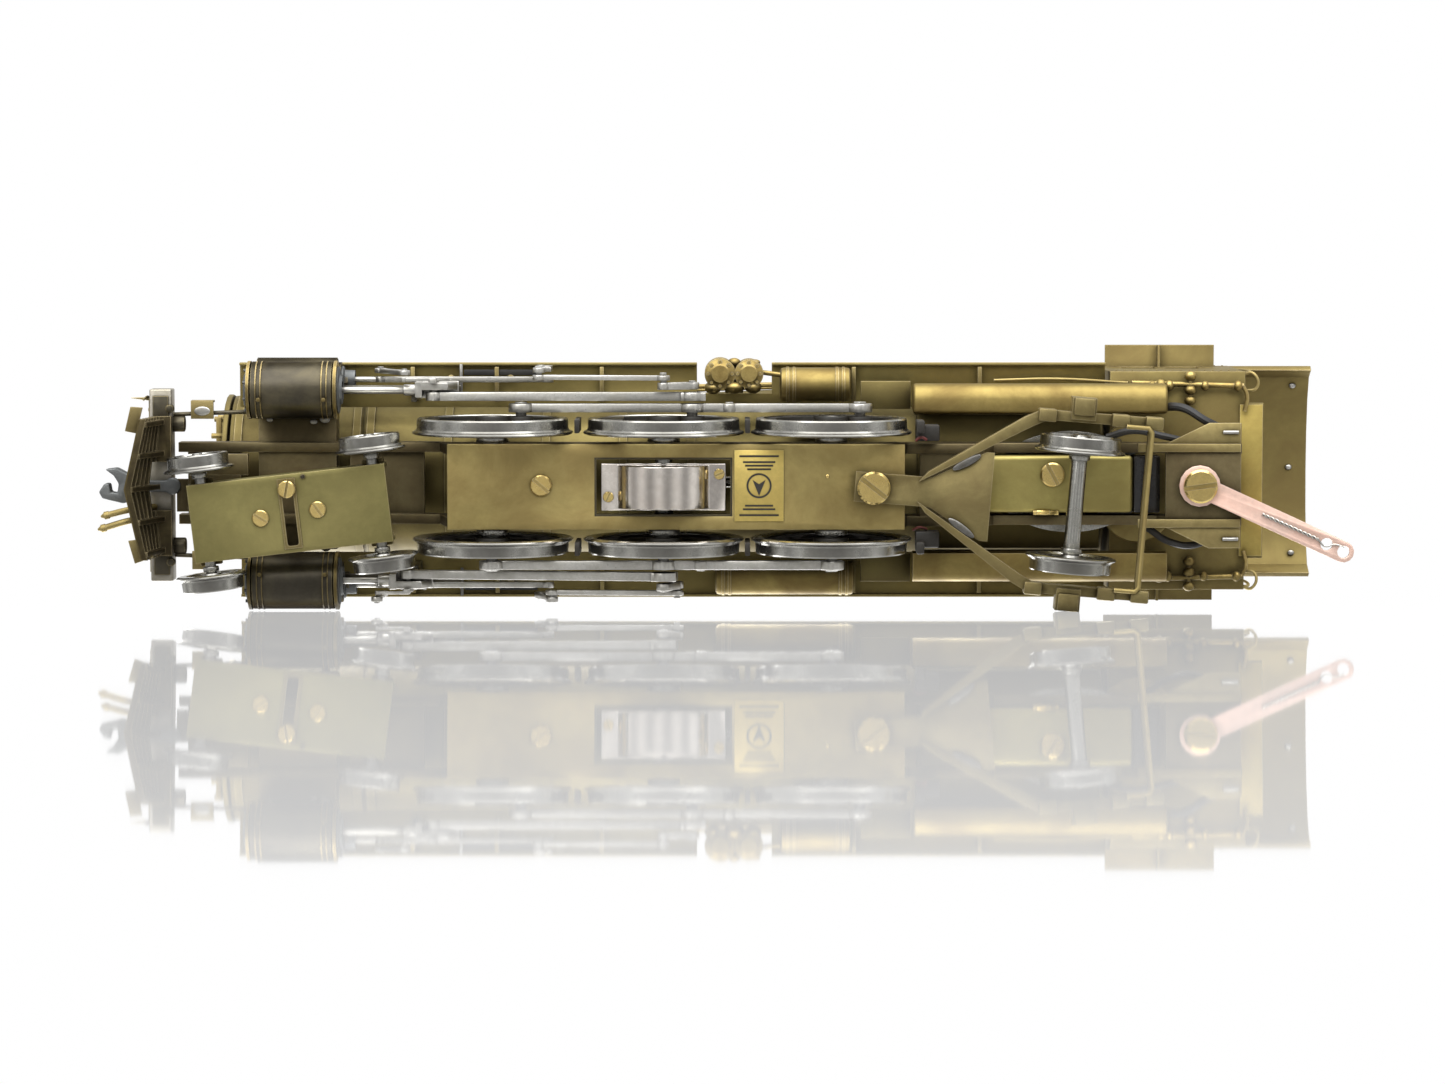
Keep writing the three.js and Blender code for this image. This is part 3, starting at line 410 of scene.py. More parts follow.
    @classmethod
    def screw(cls, centre: Point, radius: float, height: float, turn: float, out: float = -1) -> Part:
        """A cheese-head screw seen from below, with its slot.

        Args:
            centre: the middle of the head's seat.
            radius: radius of the head.
            height: how far the head stands off its seat.
            turn: angle of the slot, in degrees.
            out: -1 where the head faces down, 1 where it faces up.

        Returns:
            The new part.
        """
        rim = 0.12 * radius
        profile = [(0, 0), (radius, 0), (radius, height - rim), (radius - rim, height), (0, height)]
        head = cls.turned(profile, steps=40)
        reach, half = 1.2 * radius, 0.13 * radius
        slot = cls.slab((-reach, reach), (-half, half), (0.5 * height, 2 * height), 0)
        slot.data.transform(Matrix.Rotation(math.radians(turn), 4, "Z"))
        head = cls.cut(head, [slot])
        flip = Matrix.Identity(4) if out > 0 else Matrix.Rotation(math.pi, 4, "X")
        head.data.transform(Matrix.Translation(centre) @ flip)
        return head


# ------------------------------------------------------------------ finishes


class Links:
    """A short way to add and join the nodes of one tree."""

    def __init__(self, tree: bpy.types.NodeTree) -> None:
        """Start with an empty tree."""
        self.tree = tree
        tree.nodes.clear()

    def add(self, kind: str, settings: dict[str, object] | None = None, **sockets: object) -> bpy.types.Node:
        """Add one node.

        Args:
            kind: the node's type name, without its "ShaderNode" start.
            settings: attributes of the node.
            sockets: input values or sockets, with spaces in a name written as underscores.

        Returns:
            The new node.
        """
        node = self.tree.nodes.new(kind if kind.startswith("Node") else "ShaderNode" + kind)
        for name, value in (settings or {}).items():
            setattr(node, name, value)
        for name, value in sockets.items():
            socket = node.inputs[name.replace("_", " ")]
            if isinstance(value, bpy.types.NodeSocket):
                self.tree.links.new(value, socket)
            else:
                socket.default_value = value
        return node

    def math(self, operation: str, *values: object, clamp: bool = False) -> bpy.types.NodeSocket:
        """A maths node; its output socket is returned.

        Args:
            operation: the node's operation.
            clamp: whether the result stays from 0 to 1.
            values: its input values or sockets.

        Returns:
            The output socket.
        """
        node = self.tree.nodes.new("ShaderNodeMath")
        node.operation = operation
        node.use_clamp = clamp
        for socket, value in zip(node.inputs, values):
            if isinstance(value, bpy.types.NodeSocket):
                self.tree.links.new(value, socket)
            else:
                socket.default_value = value
        return node.outputs[0]

    def blend(self, amount: object, first: object, second: object) -> bpy.types.NodeSocket:
        """A colour mix; its output socket is returned.

        Args:
            amount: how much of the second colour is seen.
            first: the first colour.
            second: the second colour.

        Returns:
            The output socket.
        """
        node = self.tree.nodes.new("ShaderNodeMix")
        node.data_type = "RGBA"
        for socket, value in zip((node.inputs[0], node.inputs[6], node.inputs[7]), (amount, first, second)):
            if isinstance(value, bpy.types.NodeSocket):
                self.tree.links.new(value, socket)
            else:
                socket.default_value = value
        return node.outputs[2]


def new_group(
    name: str, inputs: dict[str, float], outputs: Sequence[str]
) -> tuple[bpy.types.NodeTree, Links]:
    """A shader node group with named float sockets.

    Args:
        name: the group's name.
        inputs: input names and their defaults.
        outputs: output names.

    Returns:
        The group and its node helper.
    """
    tree = bpy.data.node_groups.new(name, "ShaderNodeTree")
    for label, default in inputs.items():
        socket = tree.interface.new_socket(label, in_out="INPUT", socket_type="NodeSocketFloat")
        socket.default_value = default
    for label in outputs:
        tree.interface.new_socket(label, in_out="OUTPUT", socket_type="NodeSocketFloat")
    return tree, Links(tree)


class Effects:
    """The shared surface effects, each one a node group that is built once."""

    def __init__(self) -> None:
        """Build all the groups."""
        self.tarnish = self._tarnish()
        self.scratches = self._scratches()
        self.crevice = self._crevice()
        self.edges = self._edges()
        self.hollow = self._hollow()

    @staticmethod
    def _tarnish() -> bpy.types.NodeTree:
        """Cloudy blotches of tarnish, and a fine mottling.

        Returns:
            The node group.
        """
        tree, n = new_group("tarnish", {"Scale": 300.0, "Coverage": 0.5, "Softness": 0.2}, ("Mask", "Mottle"))
        given = n.add("NodeGroupInput")
        where = n.add("TexCoord").outputs["Object"]
        cloud = n.add(
            "TexNoise", Vector=where, Scale=given.outputs["Scale"], Detail=6.0, Roughness=0.62, Distortion=0.4
        )
        low = n.math("SUBTRACT", given.outputs["Coverage"], given.outputs["Softness"])
        high = n.math("ADD", given.outputs["Coverage"], given.outputs["Softness"])
        mask = n.add("MapRange", {"interpolation_type": "SMOOTHSTEP"}, Value=cloud.outputs["Fac"])
        n.tree.links.new(low, mask.inputs["From Min"])
        n.tree.links.new(high, mask.inputs["From Max"])
        fine_scale = n.math("MULTIPLY", given.outputs["Scale"], 7.0)
        mottle = n.add("TexNoise", Vector=where, Scale=fine_scale, Detail=4.0, Roughness=0.7)
        n.add("NodeGroupOutput", Mask=mask.outputs["Result"], Mottle=mottle.outputs["Fac"])
        return tree

    @staticmethod
    def _scratches() -> bpy.types.NodeTree:
        """Fine drawn lines along one axis; the three stretch values say which.

        Returns:
            The node group.
        """
        tree, n = new_group("scratches", {"Along X": 1.0, "Along Y": 1.0, "Along Z": 1.0}, ("Height",))
        given = n.add("NodeGroupInput")
        where = n.add("TexCoord").outputs["Object"]
        stretch = n.add("CombineXYZ")
        for label, axis in (("Along X", "X"), ("Along Y", "Y"), ("Along Z", "Z")):
            n.tree.links.new(given.outputs[label], stretch.inputs[axis])
        scaled = n.add("VectorMath", {"operation": "MULTIPLY"})
        n.tree.links.new(where, scaled.inputs[0])
        n.tree.links.new(stretch.outputs[0], scaled.inputs[1])
        lines = n.add("TexNoise", Vector=scaled.outputs[0], Scale=1.0, Detail=3.0, Roughness=0.6)
        n.add("NodeGroupOutput", Height=lines.outputs["Fac"])
        return tree

    @staticmethod
    def _crevice() -> bpy.types.NodeTree:
        """Dirt that gathers where surfaces meet.

        Returns:
            The node group.
        """
        tree, n = new_group("crevice_dirt", {"Reach": 0.0015, "Amount": 1.0}, ("Mask",))
        given = n.add("NodeGroupInput")
        open_sky = n.add("AmbientOcclusion", {"samples": 8}, Distance=given.outputs["Reach"])
        closed = n.math("SUBTRACT", 1.0, open_sky.outputs["AO"])
        n.add("NodeGroupOutput", Mask=n.math("MULTIPLY", closed, given.outputs["Amount"], clamp=True))
        return tree

    @staticmethod
    def _hollow() -> bpy.types.NodeTree:
        """How open a place is over a long reach, for the painted shade that darkens recesses inside the
        chassis.

        Returns:
            The node group.
        """
        tree, n = new_group("deep_soot", {"Reach": 0.011, "Power": 1.8}, ("Open",))
        given = n.add("NodeGroupInput")
        sky = n.add("AmbientOcclusion", {"samples": 6}, Distance=given.outputs["Reach"])
        n.add("NodeGroupOutput", Open=n.math("POWER", sky.outputs["AO"], given.outputs["Power"]))
        return tree

    @staticmethod
    def _edges() -> bpy.types.NodeTree:
        """Wear on outside edges, where the finish rubs through.

        Returns:
            The node group.
        """
        tree, n = new_group("edge_wear", {"Width": 0.00025, "Amount": 1.0}, ("Mask",))
        given = n.add("NodeGroupInput")
        rounded = n.add("Bevel", {"samples": 4}, Radius=given.outputs["Width"])
        real = n.add("NewGeometry")
        same = n.add("VectorMath", {"operation": "DOT_PRODUCT"})
        n.tree.links.new(rounded.outputs[0], same.inputs[0])
        n.tree.links.new(real.outputs["Normal"], same.inputs[1])
        bent = n.math("SUBTRACT", 1.0, same.outputs["Value"])
        worn = n.math("MULTIPLY", bent, 6.0)
        n.add("NodeGroupOutput", Mask=n.math("MULTIPLY", worn, given.outputs["Amount"], clamp=True))
        return tree


@dataclass(frozen=True)
class Finish:
    """One surface finish: a metal, a plating, a paint or a wire's cover.

    Attributes:
        name: the material's name.
        slot: the record's material slot it belongs to; not used.
        base: the clean colour.
        aged: the colour of its tarnish blotches.
        dirt: the colour of grime in its crevices, and of the painted shade in its recesses.
        worn: the colour of rubbed edges.
        metallic: how metallic it is.
        roughness: roughness of the clean surface.
        spread: how much the tarnish and mottling add to the roughness.
        cloud: scale of the tarnish, in blotches per metre.
        coverage: where the tarnish starts; less means more tarnish.
        softness: how soft the blotches' borders are.
        lines: scale of the drawn lines along x, y and z.
        relief: strength of the lines' bump.
        crevice: how much grime gathers in the corners.
        edge: how strongly the edges are worn.
        deep: how strongly painted shade darkens the recesses inside the chassis.
        lacquer: coat weight of a clear coat.
        rim: colour of the metal's reflection at a grazing angle.
    """

    name: str
    slot: str
    base: Colour
    aged: Colour
    dirt: Colour = (0.02, 0.016, 0.01)
    worn: Colour = (0.75, 0.62, 0.36)
    metallic: float = 1.0
    roughness: float = 0.35
    spread: float = 0.15
    cloud: float = 180.0
    coverage: float = 0.5
    softness: float = 0.2
    lines: Point = (900.0, 900.0, 900.0)
    relief: float = 0.15
    crevice: float = 0.9
    edge: float = 0.5
    deep: float = 0.8
    lacquer: float = 0.0
    rim: Colour = (1.0, 1.0, 1.0)

    def material(self, effects: Effects) -> bpy.types.Material:
        """The finish as a node material, built the first time it is asked for.

        Args:
            effects: the shared surface effects.

        Returns:
            The material.
        """
        label = "finish_" + self.name
        made = bpy.data.materials.get(label)
        if made is not None:
            return made
        made = bpy.data.materials.new(label)
        made.use_nodes = True
        n = Links(made.node_tree)
        tarnish = self._group(
            n, effects.tarnish, Scale=self.cloud, Coverage=self.coverage, Softness=self.softness
        )
        lines = self._group(
            n, effects.scratches, Along_X=self.lines[0], Along_Y=self.lines[1], Along_Z=self.lines[2]
        )
        dirt = self._group(n, effects.crevice, Amount=self.crevice)
        edges = self._group(n, effects.edges, Amount=self.edge)
        mottle = n.add("MapRange", Value=tarnish.outputs["Mottle"], From_Min=0.3, From_Max=0.7)
        shade = n.blend(mottle.outputs["Result"], (*(c * 0.82 for c in self.base), 1), (*self.base, 1))
        colour = n.blend(tarnish.outputs["Mask"], shade, (*self.aged, 1))
        colour = n.blend(edges.outputs["Mask"], colour, (*self.worn, 1))
        colour = n.blend(dirt.outputs["Mask"], colour, (*self.dirt, 1))
        # Painted shade: where other parts close in over a long reach, the colour is darkened towards the
        # crevice colour, so recesses inside the chassis look shaded.
        shaded = n.math("SUBTRACT", 1.0, self._group(n, effects.hollow).outputs["Open"])
        colour = n.blend(n.math("MULTIPLY", shaded, self.deep), colour, (*self.dirt, 1))
        rough = n.math("MULTIPLY_ADD", tarnish.outputs["Mask"], self.spread, self.roughness)
        rough = n.math("MULTIPLY_ADD", tarnish.outputs["Mottle"], self.spread * 0.6, rough)
        rough = n.math("MULTIPLY_ADD", dirt.outputs["Mask"], 0.25, rough, clamp=True)
        bump = n.add("Bump", Strength=self.relief, Distance=0.00005, Height=lines.outputs["Height"])
        shader = n.add(
            "BsdfPrincipled",
            Base_Color=colour,
            Metallic=self.metallic,
            Roughness=rough,
            Normal=bump.outputs["Normal"],
            Coat_Weight=self.lacquer,
            Coat_Roughness=0.12,
            Specular_Tint=(*self.rim, 1),
        )
        n.add("OutputMaterial", Surface=shader.outputs[0])
        return made

    @staticmethod
    def _group(n: Links, tree: bpy.types.NodeTree, **values: float) -> bpy.types.Node:
        """Place one shared effect in the material with its own values.

        Args:
            n: the material's node helper.
            tree: the effect.
            values: its input values.

        Returns:
            The group's node.
        """
        node = n.tree.nodes.new("ShaderNodeGroup")
        node.node_tree = tree
        for label, value in values.items():
            node.inputs[label.replace("_", " ")].default_value = value
        return node


AGED_BRASS = Finish(
    "aged_brass",
    "aged_brass",
    base=(0.42, 0.34, 0.145),
    aged=(0.27, 0.21, 0.09),
    roughness=0.42,
    cloud=160,
    deep=0.4,
)
# Painted shade: a darker copy of the aged brass, for the frame bars, the rear frame plate and the cross
# pieces inside the chassis.
SHADE_BRASS = Finish(
    "brown_brass",
    "aged_brass",
    base=(0.24, 0.195, 0.1),
    aged=(0.15, 0.115, 0.06),
    roughness=0.42,
    cloud=140,
    deep=0.6,
)
GOLDEN_BRASS = Finish(
    "golden_brass",
    "golden_brass",
    base=(0.54, 0.43, 0.17),
    aged=(0.36, 0.275, 0.11),
    roughness=0.48,
    cloud=110,
    coverage=0.5,
    lines=(260, 1500, 1500),
    relief=0.2,
    deep=0.2,
)
BRIGHT_BRASS = Finish(
    "bright_brass",
    "bright_brass",
    base=(0.9, 0.68, 0.25),
    aged=(0.68, 0.49, 0.17),
    roughness=0.2,
    spread=0.1,
    coverage=0.62,
    crevice=0.7,
    lines=(2500, 2500, 600),
    deep=0.15,
    worn=(0.9, 0.74, 0.4),
)
CAST_BRASS = Finish(
    "cast_brass",
    "bright_brass",
    base=(0.62, 0.47, 0.17),
    aged=(0.36, 0.26, 0.09),
    roughness=0.36,
    coverage=0.5,
    cloud=420,
    lines=(1600, 1600, 1600),
    relief=0.6,
)
BLACKENED = Finish(
    "blackened_brass",
    "blackened_brass",
    base=(0.08, 0.072, 0.056),
    aged=(0.15, 0.13, 0.085),
    worn=(0.4, 0.33, 0.17),
    metallic=0.9,
    roughness=0.3,
    coverage=0.55,
    edge=0.9,
    lines=(300, 1500, 1500),
    rim=(0.3, 0.28, 0.22),
    deep=0.4,
)
NICKEL = Finish(
    "nickel_plate",
    "nickel_plate",
    base=(0.74, 0.73, 0.67),
    aged=(0.5, 0.49, 0.43),
    dirt=(0.05, 0.045, 0.04),
    worn=(0.88, 0.87, 0.84),
    roughness=0.17,
    spread=0.12,
    cloud=240,
    coverage=0.6,
    lines=(500, 6000, 500),
    relief=0.12,
    crevice=0.75,
    deep=0.45,
)
ROD_NICKEL = Finish(
    "rod_nickel",
    "nickel_plate",
    base=(0.78, 0.76, 0.7),
    aged=(0.52, 0.5, 0.44),
    dirt=(0.05, 0.045, 0.04),
    worn=(0.9, 0.89, 0.86),
    roughness=0.24,
    spread=0.14,
    cloud=420,
    coverage=0.55,
    lines=(350, 2600, 2600),
    relief=0.3,
    crevice=0.85,
    deep=0.25,
)
CHROME = Finish(
    "chrome_plate",
    "chrome_plate",
    base=(0.95, 0.88, 0.8),
    aged=(0.78, 0.7, 0.62),
    worn=(0.9, 0.9, 0.88),
    roughness=0.1,
    spread=0.06,
    cloud=120,
    coverage=0.62,
    relief=0.05,
    crevice=0.5,
    deep=0.2,
)
COPPER = Finish(
    "copper_strip",
    "copper_pink",
    base=(0.98, 0.7, 0.58),
    aged=(0.86, 0.56, 0.45),
    worn=(0.95, 0.8, 0.7),
    roughness=0.33,
    deep=0.1,
    cloud=200,
    coverage=0.55,
    lines=(300, 1800, 1800),
    crevice=0.3,
    metallic=0.75,
)
GREY_CAST = Finish(
    "grey_casting",
    "grey_casting",
    base=(0.27, 0.28, 0.28),
    aged=(0.18, 0.19, 0.19),
    worn=(0.42, 0.42, 0.42),
    metallic=0.75,
    rim=(0.4, 0.4, 0.4),
    roughness=0.42,
    lines=(1500, 1500, 1500),
    relief=0.5,
    cloud=500,
    edge=0.25,
    deep=0.4,
)
BLACK_PAINT = Finish(
    "wheel_centre_black",
    "blackened_brass",
    base=(0.012, 0.012, 0.013),
    aged=(0.03, 0.028, 0.025),
    worn=(0.12, 0.11, 0.1),
    metallic=0.2,
    roughness=0.38,
    spread=0.2,
    edge=0.35,
)
MAGNET = Finish(
    "magnet_black",
    "golden_brass",
    base=(0.01, 0.01, 0.012),
    aged=(0.022, 0.022, 0.024),
    worn=(0.2, 0.2, 0.2),
    metallic=0.3,
    roughness=0.12,
    spread=0.08,
    edge=0.3,
)
WIRE_BLACK = Finish(
    "wire_black",
    "blackened_brass",
    base=(0.008, 0.008, 0.009),
    aged=(0.02, 0.02, 0.02),
    metallic=0,
    roughness=0.4,
    edge=0,
)
WIRE_RED = Finish(
    "wire_red",
    "blackened_brass",
    base=(0.35, 0.02, 0.015),
    aged=(0.2, 0.01, 0.01),
    metallic=0,
    roughness=0.4,
    edge=0,
)
SOLDER = Finish(
    "solder",
    "nickel_plate",
    base=(0.62, 0.61, 0.58),
    aged=(0.4, 0.38, 0.33),
    worn=(0.8, 0.8, 0.78),
    roughness=0.3,
    cloud=700,
    lines=(900, 900, 900),
    relief=0.6,
)
GLASS_LAMP = Finish(
    "lamp_lens",
    "chrome_plate",
    base=(0.7, 0.68, 0.6),
    aged=(0.6, 0.57, 0.5),
    roughness=0.05,
    spread=0.03,
    lacquer=1.0,
)


GOLD_PLATE = Finish(
    "gold_plate",
    "golden_brass",
    base=(0.85, 0.65, 0.2),
    aged=(0.7, 0.52, 0.16),
    roughness=0.38,
    spread=0.08,
    deep=0.2,
    coverage=0.62,
    edge=0.2,
    relief=0.05,
)
LEAD_BRASS = Finish(
    "truck_plate_brass",
    "aged_brass",
    base=(0.35, 0.31, 0.12),
    aged=(0.26, 0.225, 0.09),
    roughness=0.44,
    deep=0.2,
    cloud=110,
    coverage=0.5,
    softness=0.24,
    lines=(3200, 3200, 3200),
)
PILOT_BRASS = Finish(
    "pilot_brass",
    "aged_brass",
    base=(0.16, 0.125, 0.06),
    aged=(0.07, 0.055, 0.03),
    roughness=0.4,
    cloud=300,
    edge=0.7,
    deep=0.5,
)
BEAM_METAL = Finish(
    "beam_metal",
    "blackened_brass",
    base=(0.36, 0.33, 0.25),
    aged=(0.55, 0.51, 0.44),
    worn=(0.6, 0.58, 0.5),
    roughness=0.34,
    cloud=260,
    edge=0.8,
    deep=0.4,
)
BODY_BRASS = Finish(
    "body_brass",
    "aged_brass",
    base=(0.34, 0.275, 0.1),
    aged=(0.23, 0.18, 0.07),
    roughness=0.4,
    cloud=70,
    coverage=0.5,
    softness=0.25,
    lines=(500, 3000, 3000),
    deep=0.75,
)
# Painted light: a lighter copy of the cab's brass for the running boards, whose undersides catch the light;
# it takes little of the painted recess shade.
BOARD_BRASS = Finish(
    "board_brass",
    "aged_brass",
    base=(0.42, 0.34, 0.125),
    aged=(0.3, 0.235, 0.09),
    roughness=0.42,
    cloud=90,
    coverage=0.5,
    softness=0.26,
    deep=0.2,
    lines=(2400, 2400, 2400),
)
# Painted shade: the cab's copy of the same brass is the darker one, for the cab's sides and rivets.
CAB_BRASS = Finish(
    "cab_brass",
    "aged_brass",
    base=(0.31, 0.245, 0.09),
    aged=(0.22, 0.165, 0.065),
    roughness=0.42,
    cloud=90,
    coverage=0.48,
    softness=0.26,
    lines=(2400, 2400, 2400),
    deep=0.3,
)
LEDGE_BRASS = Finish(
    "ledge_brass",
    "golden_brass",
    base=(0.52, 0.4, 0.12),
    aged=(0.38, 0.28, 0.085),
    roughness=0.4,
    cloud=120,
    coverage=0.58,
    lines=(2400, 2400, 2400),
    deep=0.3,
)
PAN_BRASS = Finish(
    "pan_brass",
    "aged_brass",
    base=(0.36, 0.275, 0.095),
    aged=(0.22, 0.155, 0.055),
    roughness=0.44,
    cloud=110,
    coverage=0.5,
    lines=(400, 3000, 3000),
    deep=0.35,
)
COVER_BRASS = Finish(
    "cover_brass",
    "golden_brass",
    base=(0.54, 0.46, 0.16),
    aged=(0.34, 0.28, 0.1),
    roughness=0.36,
    cloud=100,
    coverage=0.5,
    softness=0.3,
    deep=0.25,
)
GUIDE_METAL = Finish(
    "guide_metal",
    "nickel_plate",
    base=(0.3, 0.28, 0.23),
    aged=(0.16, 0.14, 0.1),
    worn=(0.75, 0.73, 0.66),
    roughness=0.3,
    edge=0.8,
)


# ------------------------------------------------------------------ fitting pieces to the frame


@dataclass
class Workshop:
    """What every sub-assembly needs: the frame's joints, its local frames and the finishes.

    Attributes:
        joints: the record's joints by name.
        effects: the shared surface effects.
        engine: the matrix from engine millimetres to the row frame.
    """

    joints: dict[str, dict]
    effects: Effects
    engine: Matrix

    @classmethod
    def open(cls, joints: Sequence[dict]) -> Workshop:
        """Read the local frame of the engine from the middle driving axle's joint.

        Args:
            joints: the joints that the frame lists.

        Returns:
            The workshop.
        """
        named = {joint["name"]: joint for joint in joints}
        axle = named["driver_main_spin"]["pos_m"]
        return cls(named, Effects(), Matrix.Translation((axle[0], 0, 0)) @ Matrix.Scale(MILLIMETRE, 4))

    def local(self, pivot: str, across: Point) -> Matrix:
        """The frame of a body that turns about a joint.

        Args:
            pivot: the joint whose place is the frame's origin; its height is left out.
            across: the row-frame direction of the body's own y axis.

        Returns:
            The matrix from the body's millimetres to the row frame.
        """
        at = Vector(self.joints[pivot]["pos_m"])
        yaw = math.atan2(-across[0], across[1])
        place = Matrix.Translation((at.x, at.y, 0)) @ Matrix.Rotation(yaw, 4, "Z")
        return place @ Matrix.Scale(MILLIMETRE, 4)

    def pin(self, joint: str) -> Vector:
        """A joint's place in engine millimetres."""
        return self.engine.inverted() @ Vector(self.joints[joint]["pos_m"])

    def span(self, node: str, axis: Axis) -> Span:
        """How far a node reaches along one axis, in engine millimetres.

        Args:
            node: the frame node.
            axis: the axis.

        Returns:
            The lowest and the highest value.
        """
        low, high = (self.engine.inverted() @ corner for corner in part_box(node))
        index = "xyz".index(axis.value)
        return low[index], high[index]

    def fit(
        self,
        part: Part,
        name: str,
        body: str,
        finish: Finish,
        replaces: Sequence[str] = (),
        frame: Matrix | None = None,
        smooth: float = 35.0,
    ) -> Part:
        """Move a part into the row frame, dress it and let it ride on its body.

        Args:
            part: the part, drawn in millimetres.
            name: the name of the piece.
            body: the body that carries it.
            finish: the finish it is dressed in.
            replaces: frame nodes that it stands for.
            frame: its local frame, if not the engine's.
            smooth: the angle under which faces are shaded smooth, in degrees.

        Returns:
            The fitted piece.
        """
        part.data.transform(self.engine if frame is None else frame)
        part.name = part.data.name = name
        self.dress(part, finish)
        Bench.only(part)
        bpy.ops.object.shade_smooth_by_angle(angle=math.radians(smooth))
        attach(part, body)
        if replaces:
            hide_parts(*replaces)
        LOG.info("fitted %s on %s", name, body)
        return part

    def dress(self, part: Part, finish: Finish) -> None:
        """Give a part its finish.

        Args:
            part: the part.
            finish: its finish.
        """
        part.data.materials.clear()
        part.data.materials.append(finish.material(self.effects))

    def refine(self, node: str, body: str, finish: Finish, round_by: float = 0.09, segments: int = 2) -> Part:
        """A finer copy of a frame node: its doubles merged and its sharp edges rounded.

        Args:
            node: the frame node.
            body: the body that carries it.
            finish: the finish of the copy.
            round_by: rounding of its edges, in millimetres.
            segments: facets of that rounding.

        Returns:
            The fitted copy.
        """
        source = bpy.data.objects[node]
        part = bpy.data.objects.new(node + "_shell", source.data.copy())
        bpy.context.scene.collection.objects.link(part)
        part.data.transform(self.engine.inverted())
        Bench.only(part)
        bpy.ops.object.mode_set(mode="EDIT")
        bpy.ops.mesh.select_all(action="SELECT")
        bpy.ops.mesh.remove_doubles(threshold=1e-3)
        bpy.ops.mesh.dissolve_limited(angle_limit=math.radians(1.0))
        bpy.ops.object.mode_set(mode="OBJECT")
        Bench.soften(part, round_by, segments, angle=28)
        return self.fit(part, node + "_shell", body, finish, [node])


# ------------------------------------------------------------------ wheels


